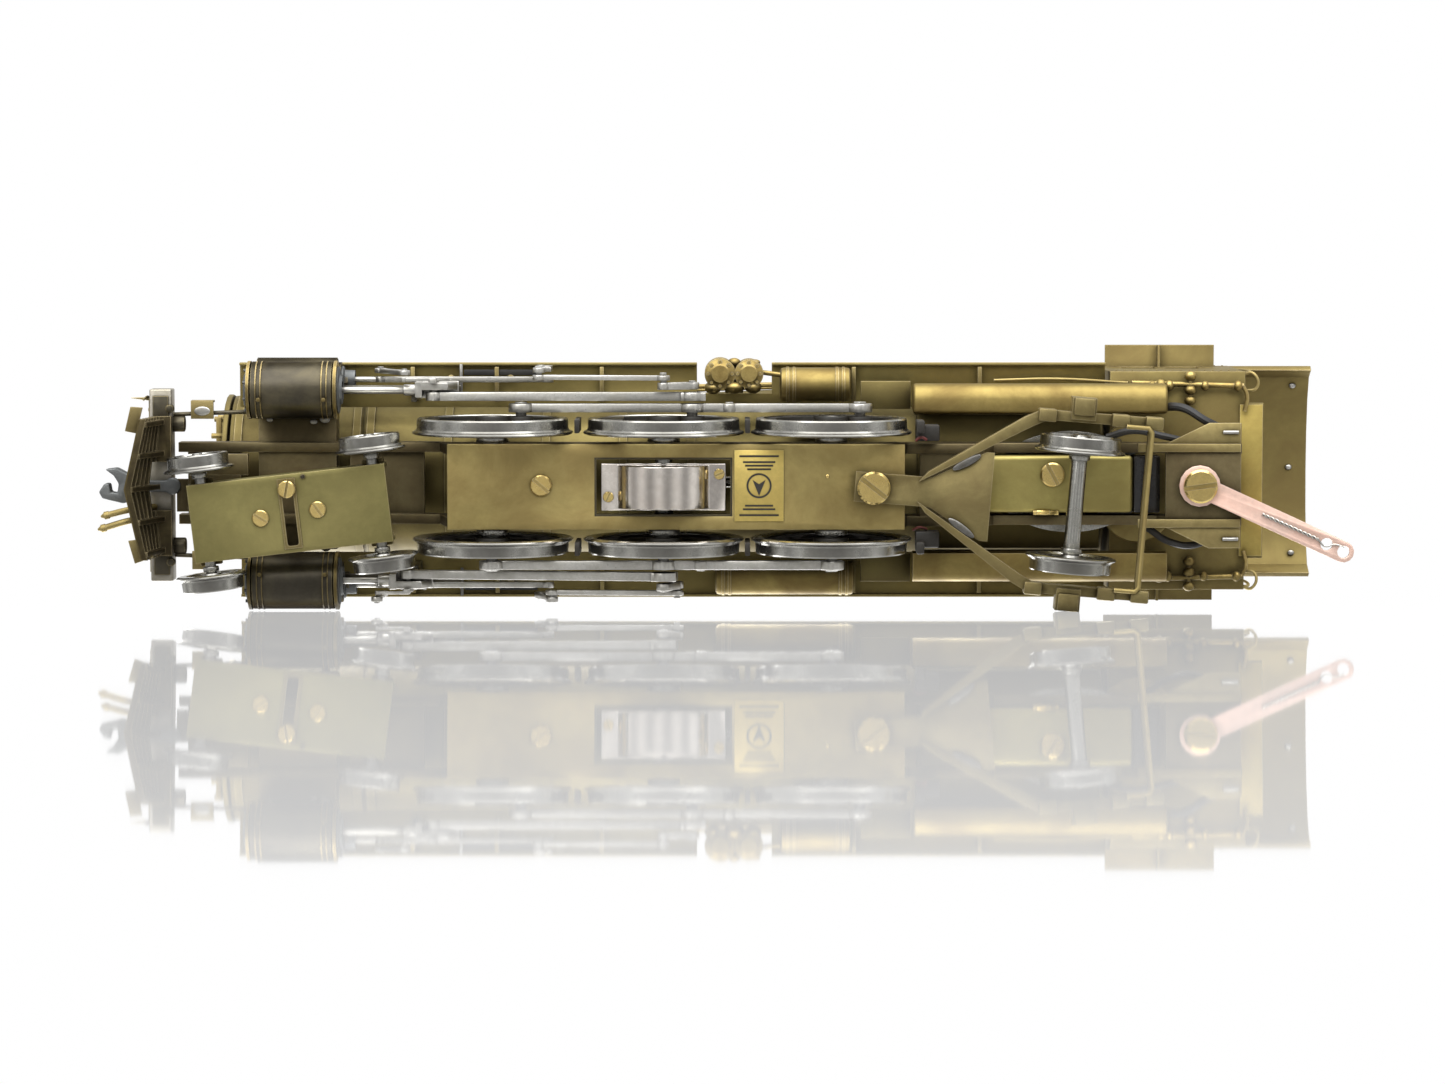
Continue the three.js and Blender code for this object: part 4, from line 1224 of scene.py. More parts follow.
@dataclass
class DrivingWheels:
    """The three driving wheelsets.

    Attributes:
        shop: the workshop that fits the pieces.
        tread: radius of the tyre's tread.
        flange: how far the flange stands beyond the tread.
        back: distance of the wheel's back from the middle.
        width: width of the tyre.
        rim: inside radius of the tyre.
        hub: radius of the hub.
        spokes: number of spokes.
    """

    shop: Workshop
    tread: float = 10.65
    flange: float = 0.65
    back: float = 7.2
    width: float = 2.3
    rim: float = 9.45
    hub: float = 2.5
    spokes: int = 14

    def build(self) -> None:
        """Build and fit all three wheelsets."""
        for place in ("front", "main", "rear"):
            joint = f"driver_{place}_spin"
            body = self.shop.joints[joint]["child"]
            axle = self.shop.pin(joint)
            self._axle(place, body, axle)
            for side in Side:
                self._wheel(place, body, axle, side)

    def _crank(self, side: Side) -> Vector:
        """Where a side's crank pin stands from its axle.

        Args:
            side: which side of the engine.

        Returns:
            The step from the axle to the pin, in millimetres.
        """
        pin = self.shop.pin(f"side_rod_{side.word}_pin")
        axle = self.shop.pin("driver_main_spin")
        return Vector((pin.x - axle.x, 0, pin.z - axle.z))

    def _tyre(self, side: Side) -> Part:
        """The turned tyre with its coned tread and rounded flange.

        Args:
            side: which side of the engine.

        Returns:
            The new part.
        """
        back, face, top = self.back, self.back + self.width, self.tread + self.flange
        section = [
            (self.rim, back + 0.25),
            (self.tread - 0.5, back),
            (self.tread + 0.25, back),
            (top - 0.1, back + 0.12),
            (top, back + 0.28),
            (top - 0.12, back + 0.45),
            (self.tread + 0.16, back + 0.62),
            (self.tread, back + 0.85),
            (self.tread - 0.06, face - 0.2),
            (self.tread - 0.22, face),
            (self.rim + 0.1, face),
            (self.rim, face - 0.12),
        ]
        return Bench.turned([(r, side.value * y) for r, y in section], Axis.Y, steps=96, closed=True)

    def _centre(self, side: Side, crank: Vector, weight: float) -> Part:
        """The cast centre: rim ring, tapering spokes, hub, crank boss and balance weight.

        Args:
            side: which side of the engine.
            crank: the step from the axle to the crank pin.
            weight: half the angle of the balance weight, in degrees.

        Returns:
            The new part.
        """
        inner, outer = self.back + 0.35, self.back + self.width - 0.25
        parts = [
            Bench.turned(
                [
                    (self.rim - 0.75, side.value * inner),
                    (self.rim, side.value * inner),
                    (self.rim, side.value * outer),
                    (self.rim - 0.6, side.value * outer),
                ],
                Axis.Y,
                steps=80,
                closed=True,
            ),
            Bench.bar(
                (0, side.value * (self.back + 0.1), 0),
                (0, side.value * (self.back + self.width + 0.25), 0),
                self.hub,
                40,
                0.15,
            ),
            Bench.bar(
                (crank.x, side.value * (self.back + 0.4), crank.z),
                (crank.x, side.value * (self.back + self.width + 0.25), crank.z),
                1.75,
                32,
                0.15,
            ),
        ]
        start = math.atan2(crank.z, crank.x)
        middle = side.value * (inner + outer) / 2
        for i in range(self.spokes):
            angle = start + (i + 0.5) * math.tau / self.spokes
            reach = Vector((math.cos(angle), 0, math.sin(angle)))
            root = reach * (self.hub - 0.2)
            tip = reach * (self.rim - 0.3)
            spoke = Bench.bar((root.x, middle, root.z), (tip.x, middle, tip.z), 0.62, 10, 0.0, 0.42)
            parts.append(spoke)
        half = math.radians(weight)
        steps = 10
        arc = [start + math.pi - half + 2 * half * i / steps for i in range(steps + 1)]
        outline = [((self.rim - 0.2) * math.cos(a), (self.rim - 0.2) * math.sin(a)) for a in arc]
        parts.append(
            Bench.plate(outline, side.span(self.back + 0.7, self.back + self.width - 0.1), Axis.Y, 0.1)
        )
        return Bench.join(parts)

    def _wheel(self, place: str, body: str, axle: Vector, side: Side) -> None:
        """One wheel: tyre, centre and crank pin.

        Args:
            place: which axle.
            body: the body that carries the wheel.
            axle: the axle's middle.
            side: which side of the engine.
        """
        crank = self._crank(side)
        node = f"driver_wheel_{place}_{side.word}"
        at = Matrix.Translation(axle)
        tyre = self._tyre(side)
        tyre.data.transform(at)
        self.shop.fit(tyre, f"driver_tyre_{place}_{side.word}", body, NICKEL, [node], smooth=20)
        centre = self._centre(side, crank, 52 if place == "main" else 34)
        centre.data.transform(at)
        self.shop.fit(centre, f"driver_centre_{place}_{side.word}", body, BLACK_PAINT)
        face = side.value * (self.back + self.width)
        cap = side.value * 11.45
        pin = Bench.join(
            [
                Bench.bar((crank.x, face, crank.z), (crank.x, cap, crank.z), 0.75, 24, 0.05),
                Bench.bar((0, face + side.value * 0.2, 0), (0, face + side.value * 0.3, 0), 1.1, 24, 0.04),
            ]
        )
        pin.data.transform(at)
        self.shop.fit(pin, f"crank_pin_{place}_{side.word}", body, ROD_NICKEL)

    def _axle(self, place: str, body: str, axle: Vector) -> None:
        """The axle, with its gear on the middle one.

        Args:
            place: which axle.
            body: the body that carries it.
            axle: its middle.
        """
        reach = self.back + self.width
        parts = [Bench.bar((0, -reach, 0), (0, reach, 0), 1.35, 32, 0.1)]
        for side in Side:
            parts.append(Bench.bar((0, side.value * 6.1, 0), (0, side.value * 6.9, 0), 2.3, 32, 0.08))
        if place == "main":
            parts.append(self._gear())
        part = Bench.join(parts)
        part.data.transform(Matrix.Translation(axle))
        self.shop.fit(part, f"driver_shaft_{place}", body, NICKEL, [f"driver_axle_{place}"])

    def _gear(self) -> Part:
        """The toothed gear on the middle axle.

        Returns:
            The new part.
        """
        teeth, tip, root = 28, 6.15, 5.6
        outline = []
        for i in range(teeth):
            for offset, radius in ((-0.3, root), (-0.14, tip), (0.14, tip), (0.3, root)):
                angle = (i + offset) * math.tau / teeth
                outline.append((radius * math.cos(angle), radius * math.sin(angle)))
        return Bench.plate(outline, (-1.3, 1.3), Axis.Y, 0.03)


@dataclass
class PlainWheels:
    """The solid turned wheels of the leading and trailing trucks.

    Attributes:
        shop: the workshop that fits the pieces.
        flange: how far the flange stands beyond the tread.
        back: distance of a wheel's back from the middle.
        width: width of the tyre.
    """

    shop: Workshop
    flange: float = 0.65
    back: float = 7.2
    width: float = 2.3

    def wheel(self, radius: float, side: Side) -> Part:
        """One turned wheel with a dished face and a raised hub.

        Args:
            radius: its tread radius.
            side: which side of the engine.

        Returns:
            The new part.
        """
        back, face, top = self.back, self.back + self.width, radius + self.flange
        profile = [
            (0.4, back - 0.05),
            (1.35, back - 0.05),
            (1.45, back + 0.25),
            (radius - 1.0, back + 0.25),
            (radius - 0.7, back),
            (radius + 0.3, back),
            (top - 0.08, back + 0.1),
            (top, back + 0.26),
            (top - 0.12, back + 0.42),
            (radius + 0.12, back + 0.58),
            (radius, back + 0.8),
            (radius - 0.06, face - 0.15),
            (radius - 0.2, face),
            (radius - 0.75, face),
            (radius - 0.95, face - 0.4),
            (1.6, face - 0.5),
            (1.4, face - 0.05),
            (0.4, face - 0.05),
        ]
        return Bench.turned([(r, side.value * y) for r, y in profile], Axis.Y, steps=72, closed=True)

    def fit(
        self, name: str, node: str, body: str, frame: Matrix, centre: Point, radius: float, shaft: float
    ) -> None:
        """Build and fit one wheelset.

        Args:
            name: the start of its pieces' names.
            node: the frame node that it stands for.
            body: the body that carries it.
            frame: the truck's local frame.
            centre: the axle's centre in that frame.
            radius: tread radius.
            shaft: radius of the axle.
        """
        reach = min(self.back + self.width + 0.15, 11.0)
        for side in Side:
            wheel = self.wheel(radius, side)
            wheel.data.transform(Matrix.Translation(centre))
            self.shop.fit(wheel, f"{name}_wheel_{side.word}", body, NICKEL, [node], frame, smooth=20)
        axle = Bench.join(
            [
                Bench.bar((0, -reach, 0), (0, reach, 0), shaft, 28, 0.08),
                Bench.bar((0, -6.9, 0), (0, -6.2, 0), shaft + 0.35, 28, 0.08),
                Bench.bar((0, 6.2, 0), (0, 6.9, 0), shaft + 0.35, 28, 0.08),
            ]
        )
        axle.data.transform(Matrix.Translation(centre))
        self.shop.fit(axle, f"{name}_axle", body, NICKEL, frame=frame)


# ------------------------------------------------------------------ rods and valve gear


@dataclass
class RodWork:
    """Side rods, main rods, crossheads and the valve gear of both sides.

    Attributes:
        shop: the workshop that fits the pieces.
        side_rod_y: how far out the side rods' two faces stand.
        main_rod_y: the same for the main rods.
        crank_y: the same for the eccentric cranks.
        eccentric_rod_y: the same for the eccentric rods.
        link_y: the same for the expansion links.
        lever_y: the same for the combination levers.
        valve_rod_y: how far out the valve rods' middle stands.
    """

    shop: Workshop
    side_rod_y: Span = (10.3, 11.5)
    main_rod_y: Span = (11.9, 13.1)
    crank_y: Span = (13.5, 14.5)
    eccentric_rod_y: Span = (14.8, 15.5)
    link_y: Span = (15.8, 16.5)
    lever_y: Span = (15.5, 16.2)
    valve_rod_y: float = 14.6

    def build(self) -> None:
        """Build and fit the gear of both sides."""
        for side in Side:
            self._side_rod(side)
            self._main_rod(side)
            self._crosshead(side)
            self._eccentric_crank(side)
            self._eccentric_rod(side)
            self._link(side)
            self._lever(side)
            self._valve_rod(side)

    def _fluted(self, start: Vector, end: Vector, y: Span, height: float, taper: float = 1.0) -> Part:
        """A rod's shank with a flute milled along each face.

        Args:
            start: centre of one end.
            end: centre of the other end.
            y: where its faces stand.
            height: height at the start.
            taper: height at the end, as a share of that.

        Returns:
            The new part.
        """
        run = end - start
        length = run.length
        far = height * taper
        outline = [(0, -height / 2), (length, -far / 2), (length, far / 2), (0, height / 2)]
        rod = Bench.plate(outline, y, Axis.Y, 0.07)
        groove = [
            (2.4, -height * 0.22),
            (length - 2.4, -far * 0.22),
            (length - 2.4, far * 0.22),
            (2.4, height * 0.22),
        ]
        depth = 0.28
        for face, inward in ((y[0], 1), (y[1], -1)):
            cutter = Bench.plate(
                groove, tuple(sorted((face - inward * 0.3, face + inward * depth))), Axis.Y, 0
            )
            rod = Bench.cut(rod, [cutter])
        rod.data.transform(Matrix.Translation(start) @ Matrix.Rotation(-math.atan2(run.z, run.x), 4, "Y"))
        return rod

    def _eye(self, at: Vector, y: Span, radius: float, cap: float = 0.0) -> Part:
        """A round rod end, with an oiler's cap on the outer face if asked.

        Args:
            at: its middle.
            y: where its faces stand.
            radius: its radius.
            cap: height of the cap, or zero.

        Returns:
            The new part.
        """
        parts = [Bench.bar((at.x, y[0], at.z), (at.x, y[1], at.z), radius, 36, 0.12)]
        if cap:
            outer = y[1] if y[1] > 0 else y[0]
            sign = 1 if outer > 0 else -1
            parts.append(
                Bench.bar((at.x, outer, at.z), (at.x, outer + sign * cap, at.z), radius * 0.55, 6, 0.05)
            )
        return Bench.join(parts)

    def _side_rod(self, side: Side) -> None:
        """The coupling rod in two sections, with its knuckle.

        Args:
            side: which side of the engine.
        """
        y = side.span(*self.side_rod_y)
        main = self.shop.pin(f"side_rod_{side.word}_pin")
        shift = {p: self.shop.pin(f"driver_{p}_spin").x for p in ("front", "main", "rear")}
        pins = {p: Vector((main.x + shift[p] - shift["main"], 0, main.z)) for p in shift}
        knuckle = pins["main"] + Vector((-5.2, 0, 0))
        parts = [
            self._fluted(pins["main"], pins["front"], y, 1.5),
            self._fluted(knuckle, pins["rear"], y, 1.5),
            Bench.slab((knuckle.x, pins["main"].x), y, (main.z - 0.75, main.z + 0.75), 0.07),
            self._eye(knuckle, y, 1.15, 0.2),
        ]
        parts += [self._eye(pin, y, 1.75, 0.25 if key != "main" else 0.0) for key, pin in pins.items()]
        for pin in pins.values():
            parts.append(Bench.slab((pin.x - 0.5, pin.x + 0.5), y, (pin.z + 1.5, pin.z + 2.1), 0.1))
        name = f"side_rod_{side.word}"
        self.shop.fit(Bench.join(parts), name + "_forging", f"coupling_rod_{side.word}", ROD_NICKEL, [name])

    def _main_rod(self, side: Side) -> None:
        """The connecting rod with its strap end.

        Args:
            side: which side of the engine.
        """
        y = side.span(*self.main_rod_y)
        wrist = self.shop.pin(f"main_rod_{side.word}_swing")
        pin = self.shop.pin(f"side_rod_{side.word}_pin")
        near, far = Vector((wrist.x, 0, wrist.z)), Vector((pin.x, 0, pin.z))
        parts = [
            self._fluted(near, far, y, 1.45, 1.25),
            self._eye(near, y, 1.15),
            self._eye(far, y, 1.8),
        ]
        heading = (far - near).normalized()
        block = Bench.slab((-1.6, 1.9), y, (-1.35, 1.35), 0.12)
        block.data.transform(
            Matrix.Translation(far) @ Matrix.Rotation(-math.atan2(heading.z, heading.x), 4, "Y")
        )
        parts.append(block)
        name = f"main_rod_{side.word}"
        self.shop.fit(Bench.join(parts), name + "_forging", f"connecting_rod_{side.word}", ROD_NICKEL, [name])

    def _crosshead(self, side: Side) -> None:
        """The crosshead casting, its piston rod, its slipper and the union link.

        Args:
            side: which side of the engine.
        """
        wrist = self.shop.pin(f"main_rod_{side.word}_swing")
        x, z, s = wrist.x, wrist.z, side
        parts = [
            Bench.plate(
                [
                    (x - 3.3, z + 1.4),
                    (x - 2.0, z - 1.15),
                    (x + 1.2, z - 1.15),
                    (x + 2.6, z - 0.6),
                    (x + 2.6, z + 1.5),
                ],
                s.span(13.4, 14.5),
                Axis.Y,
                0.15,
            ),
            Bench.slab((x - 3.4, x + 2.6), s.span(12.2, 14.6), (z + 1.5, z + 2.35), 0.12),
            Bench.slab((x + 1.6, x + 2.6), s.span(12.4, 14.6), (z - 0.9, z + 2.2), 0.12),
            Bench.bar((x, s.value * 11.9, z), (x, s.value * 13.6, z), 0.5, 20, 0.04),
            Bench.bar((x, s.value * 14.4, z), (x, s.value * 14.95, z), 0.85, 6, 0.06),
            Bench.bar((x + 2.4, s.value * 13.4, z), (x + 4.2, s.value * 13.4, z), 0.8, 24, 0.08),
            Bench.bar((x + 2.4, s.value * 13.4, z), (x + 17, s.value * 13.4, z), 0.45, 24, 0.03),
            Bench.slab((x - 0.45, x + 0.45), s.span(14.4, 15.1), (z - 2.35, z + 0.4), 0.08),
            Bench.slab((x - 0.3, x + 4.4), s.span(14.75, 15.15), (z - 2.3, z - 1.8), 0.06),
            Bench.bar(
                (x + 4.1, s.value * 14.7, z - 2.05), (x + 4.1, s.value * 15.2, z - 2.05), 0.4, 16, 0.05
            ),
        ]
        for dx in (-2.2, -0.9, 0.9):
            parts.append(
                Bench.bar((x + dx, s.value * 14.5, z + 1.9), (x + dx, s.value * 14.85, z + 1.9), 0.3, 6, 0.03)
            )
        name = f"crosshead_{side.word}"
        self.shop.fit(Bench.join(parts), name + "_casting", name, ROD_NICKEL, [name])

    def _eccentric_crank(self, side: Side) -> None:
        """The return crank between the main pin and the eccentric pin.

        Args:
            side: which side of the engine.
        """
        y = side.span(*self.crank_y)
        pin = self.shop.pin(f"side_rod_{side.word}_pin")
        axle = self.shop.pin("driver_main_spin")
        arm = Vector((pin.x - axle.x, 0, pin.z - axle.z)).normalized() * 1.9
        eccentric = Vector((axle.x - arm.z, 0, axle.z + arm.x))
        if side is Side.RIGHT:
            eccentric = Vector((axle.x + arm.z, 0, axle.z - arm.x))
        near = Vector((pin.x, 0, pin.z))
        outer = side.value * self.crank_y[1]
        parts = [
            self._fluted(near, eccentric, y, 1.9, 0.75),
            self._eye(near, y, 1.0, 0.2),
            self._eye(eccentric, y, 0.85),
            Bench.bar(
                (eccentric.x, outer, eccentric.z),
                (eccentric.x, outer + side.value * 0.25, eccentric.z),
                0.45,
                16,
            ),
        ]
        name = f"eccentric_crank_{side.word}"
        self.shop.fit(Bench.join(parts), name + "_forging", "driver_wheelset_main", ROD_NICKEL, [name])

    def _eccentric_end(self, side: Side) -> Vector:
        """Where the eccentric pin stands at rest, from the eccentric rod's own box.

        Args:
            side: which side of the engine.

        Returns:
            The point in engine millimetres.
        """
        x = self.shop.span(f"eccentric_rod_{side.word}", Axis.X)
        z = self.shop.span(f"eccentric_rod_{side.word}", Axis.Z)
        radius = 0.95
        return Vector((x[0] + radius, 0, z[0] + radius))

    def _eccentric_rod(self, side: Side) -> None:
        """The eccentric rod with its bolted pin heads.

        Args:
            side: which side of the engine.
        """
        y = side.span(*self.eccentric_rod_y)
        foot = self.shop.pin(f"eccentric_rod_{side.word}_swing")
        near, far = Vector((foot.x, 0, foot.z)), self._eccentric_end(side)
        parts = [
            self._fluted(near, far, y, 0.95, 1.1),
            self._eye(near, y, 0.9, 0.35),
            self._eye(far, y, 0.95, 0.4),
        ]
        name = f"eccentric_rod_{side.word}"
        self.shop.fit(Bench.join(parts), name + "_forging", name, ROD_NICKEL, [name])

    def _link(self, side: Side) -> None:
        """The curved expansion link, its slot and its foot.

        Args:
            side: which side of the engine.
        """
        y = side.span(*self.link_y)
        trunnion = self.shop.pin(f"link_{side.word}_swing")
        foot = self.shop.pin(f"eccentric_rod_{side.word}_swing")
        swing = math.atan2(trunnion.x - foot.x, trunnion.z - foot.z)
        length = math.hypot(trunnion.x - foot.x, trunnion.z - foot.z)
        steps, bow = 10, 0.8

        def curve(width: float, reach: float) -> list[tuple[float, float]]:
            """A bowed strip of one width and half height.

            Args:
                width: half the strip's width.
                reach: half its height.

            Returns:
                The outline's points.
            """
            heights = [reach * (2 * i / steps - 1) for i in range(steps + 1)]
            bend = [-bow * (h / 3.2) ** 2 for h in heights]
            right = [(width + b, h) for b, h in zip(bend, heights)]
            return right + [(b - width, h) for b, h in zip(reversed(bend), reversed(heights))]

        body = Bench.plate(curve(0.85, 3.1), y, Axis.Y, 0.06)
        wide = side.span(self.link_y[0] - 0.5, self.link_y[1] + 0.5)
        body = Bench.cut(body, [Bench.plate(curve(0.3, 2.3), wide, Axis.Y, 0)])
        parts = [
            body,
            Bench.plate([(-0.55, -2.6), (-0.45, -length), (0.45, -length), (0.3, -2.6)], y, Axis.Y, 0.06),
            Bench.bar((0, y[0], -length), (0, y[1], -length), 0.85, 28, 0.08),
            Bench.bar((0, y[0] - 0.15, 0), (0, y[1] + 0.15, 0), 0.55, 20, 0.05),
        ]
        link = Bench.join(parts)
        link.data.transform(Matrix.Translation(trunnion) @ Matrix.Rotation(swing, 4, "Y"))
        link.data.transform(Matrix.Translation((0, -trunnion.y, 0)))
        name = f"expansion_link_{side.word}"
        self.shop.fit(link, name + "_forging", f"link_{side.word}", ROD_NICKEL, [name])

    def _lever(self, side: Side) -> None:
        """The combination lever with its two eyes.

        Args:
            side: which side of the engine.
        """
        y = side.span(*self.lever_y)
        top = self.shop.pin(f"lever_{side.word}_swing")
        x = self.shop.span(f"combination_lever_{side.word}", Axis.X)
        z = self.shop.span(f"combination_lever_{side.word}", Axis.Z)
        tilted = x[1] - x[0] > 2.5
        near = Vector((top.x, 0, top.z))
        far = Vector((x[0] + 0.85 if tilted else top.x, 0, z[0] + 0.85))
        parts = [
            self._fluted(near, far, y, 1.0, 0.8), self._eye(near, y, 0.85, 0.2), self._eye(far, y, 0.8, 0.2)
        ]
        name = f"combination_lever_{side.word}"
        self.shop.fit(Bench.join(parts), name + "_forging", f"lever_{side.word}", ROD_NICKEL, [name])

    def _valve_rod(self, side: Side) -> None:
        """The radius rod, its fork and the valve stem.

        Args:
            side: which side of the engine.
        """
        x = self.shop.span(f"valve_rod_{side.word}", Axis.X)
        z = sum(self.shop.span(f"valve_rod_{side.word}", Axis.Z)) / 2
        lever = self.shop.pin(f"lever_{side.word}_swing").x
        s, y = side, self.valve_rod_y
        parts = [
            self._fluted(Vector((x[0] + 0.9, 0, z)), Vector((lever, 0, z)), s.span(y - 0.4, y + 0.4), 0.9),
            Bench.bar(
                (x[0] + 0.9, s.value * (y - 0.4), z), (x[0] + 0.9, s.value * (y + 0.4), z), 0.85, 28, 0.06
            ),
            Bench.bar((lever, s.value * (y - 0.4), z), (lever, s.value * (y + 0.4), z), 0.8, 28, 0.06),
            Bench.bar((lever, s.value * y, z), (x[1], s.value * y, z), 0.4, 20, 0.03),
        ]
        name = f"valve_rod_{side.word}"
        self.shop.fit(Bench.join(parts), name + "_forging", name, ROD_NICKEL, [name])


# ------------------------------------------------------------------ trucks and drawbar


@dataclass
class LeadTruck:
    """The leading truck: its frame, its screws and its two wheelsets.

    Attributes:
        shop: the workshop that fits the pieces.
        shift: how far the truck's middle stands from its pivot.
        wheelbase: distance between its axles.
        radius: tread radius of its wheels.
    """

    shop: Workshop
    shift: float = -3.4
    wheelbase: float = 24.0
    radius: float = 4.3

    def build(self) -> None:
        """Build and fit the truck."""
        shop = self.shop
        joint = shop.joints["lead_wheels_front_spin"]
        place = shop.local("lead_truck_yaw", joint["axis"])
        shop.refine("lead_truck_frame", "lead_truck", LEAD_BRASS, 0.1)
        for name, x, y, turn in (
            ("ahead", 4.1, self.shift - 0.2, -38), ("behind", -3.9, self.shift + 0.1, -60)
        ):
            screw = Bench.screw((x, y, 2.4), 1.15, 0.35, turn)
            shop.fit(screw, f"truck_screw_{name}", "lead_truck", BRIGHT_BRASS, frame=place)
        rim = self._slot_rim()
        shop.fit(rim, "truck_slot_rim", "lead_truck", AGED_BRASS, frame=place)
        blocks = []
        for x in (-self.wheelbase / 2, self.wheelbase / 2):
            for edge in (-1, 1):
                y = self.shift + edge * 5.6
                blocks.append(Bench.slab((x - 1.5, x + 1.5), (y - 0.45, y + 0.45), (5.2, 6.4), 0.12))
        shop.fit(Bench.join(blocks), "truck_axle_boxes", "lead_truck", AGED_BRASS, frame=place)
        stud = Bench.bar((-2.4, self.shift + 4.9, 2.1), (-2.4, self.shift + 4.9, 2.5), 0.35, 12, 0.05)
        shop.fit(stud, "truck_stud", "lead_truck", BLACKENED, frame=place)
        self._pivot()
        wheels = PlainWheels(shop)
        for name, x in (("front", 12.0), ("rear", -12.0)):
            wheels.fit(
                f"lead_{name}",
                f"lead_wheelset_{name}",
                f"lead_wheels_{name}",
                place,
                (x, self.shift, self.radius),
                self.radius,
                0.75,
            )

    def _slot_rim(self) -> Part:
        """The bright bevel around the slot.

        Returns:
            The new part.
        """
        outer = Bench.slab((-1.25, 1.25), (self.shift - 4.9, self.shift + 4.9), (2.28, 2.42), 0)
        inner = Bench.slab((-0.82, 0.82), (self.shift - 4.5, self.shift + 4.5), (2.0, 2.8), 0)
        Bench.soften(inner, 0.5, 4)
        return Bench.cut(outer, [inner], 0.04)

    def _pivot(self) -> None:
        """The slotted screw that the truck slides and turns on."""
        at = self.shop.pin("lead_truck_yaw")
        box = self.shop.span("lead_pivot_screw", Axis.Z)
        parts = [
            Bench.screw((at.x, at.y, box[0] + 0.85), 1.2, 0.85, 80),
            Bench.bar((at.x, at.y, box[0] + 0.8), (at.x, at.y, box[1]), 0.62, 24),
        ]
        self.shop.fit(
            Bench.join(parts), "truck_pivot_screw", "lead_pivot", BRIGHT_BRASS, ["lead_pivot_screw"]
        )


@dataclass
class TrailingTruck:
    """The trailing truck with its cast side bars, its cross wire and its wheelset.

    Attributes:
        shop: the workshop that fits the pieces.
        axle_x: place of its axle along the truck.
        radius: tread radius of its wheels.
    """

    shop: Workshop
    axle_x: float = -28.2
    radius: float = 5.7

    def build(self) -> None:
        """Build and fit the truck."""
        shop = self.shop
        joint = shop.joints["trailing_wheels_spin"]
        place = shop.local("trailing_truck_yaw", joint["axis"])
        shop.refine("trailing_truck_frame", "trailing_truck", AGED_BRASS, 0.14)
        parts = []
        for side in Side:
            for dx in (-5.2, 5.0, -9.9):
                x, w = self.axle_x + dx, 1.25
                parts.append(Bench.slab((x - w, x + w), side.span(11.2, 13.0), (3.9, 6.4), 0.25))
            x = self.axle_x
            parts.append(Bench.slab((x - 1.5, x + 1.5), side.span(12.4, 14.9), (3.6, 6.6), 0.3))
            parts.append(Bench.bar((x, side.value * 12.2, 5.7), (x, side.value * 14.75, 5.7), 1.2, 24, 0.12))
        shop.fit(Bench.join(parts), "journal_castings", "trailing_truck", AGED_BRASS, frame=place)
        wire = self._cross_wire()
        shop.fit(wire, "cross_wire", "trailing_truck", GOLDEN_BRASS, frame=place)
        solder = [
            Bench.ball((-12.6, side.value * 4.6, 5.15), 1.0, (2.2, 0.55, 0.16), 12) for side in Side
        ]
        for blob, side in zip(solder, Side):
            turn = Matrix.Rotation(math.radians(-32 * side.value), 4, "Z")
            middle = Vector((-12.6, side.value * 4.6, 5.15))
            blob.data.transform(Matrix.Translation(middle) @ turn @ Matrix.Translation(-middle))
        shop.fit(Bench.join(solder), "truck_solder", "trailing_truck", SOLDER, frame=place)
        PlainWheels(shop).fit(
            "trailing",
            "trailing_wheelset",
            "trailing_wheels",
            place,
            (self.axle_x, 0, self.radius),
            self.radius,
            1.15,
        )
        at = shop.pin("trailing_truck_yaw")
        low = shop.span("trailing_pivot_screw", Axis.Z)
        screw = [
            Bench.screw((at.x, at.y, low[0] + 1.0), 2.3, 1.0, -38),
            Bench.bar((at.x, at.y, low[0] + 0.9), (at.x, at.y, low[1]), 1.05, 24),
        ]
        shop.fit(Bench.join(screw), "truck_swing_screw", "chassis", BRIGHT_BRASS, ["trailing_pivot_screw"])

    def _cross_wire(self) -> Part:
        """The bent wire between the side bars, with its hooked ends.

        Returns:
            The new part.
        """
        x = self.axle_x - 9.6
        ends = 11.4
        points = [(x + 3.6, ends, 3.7), (x + 0.5, ends, 3.7), (x, ends - 0.6, 3.7)]
        points += [(x, 0, 3.7), (x, 0.6 - ends, 3.7), (x + 0.5, -ends, 3.7), (x + 3.4, -ends, 3.7)]
        return Bench.wire(points, 0.33, smooth=False, sides=4)


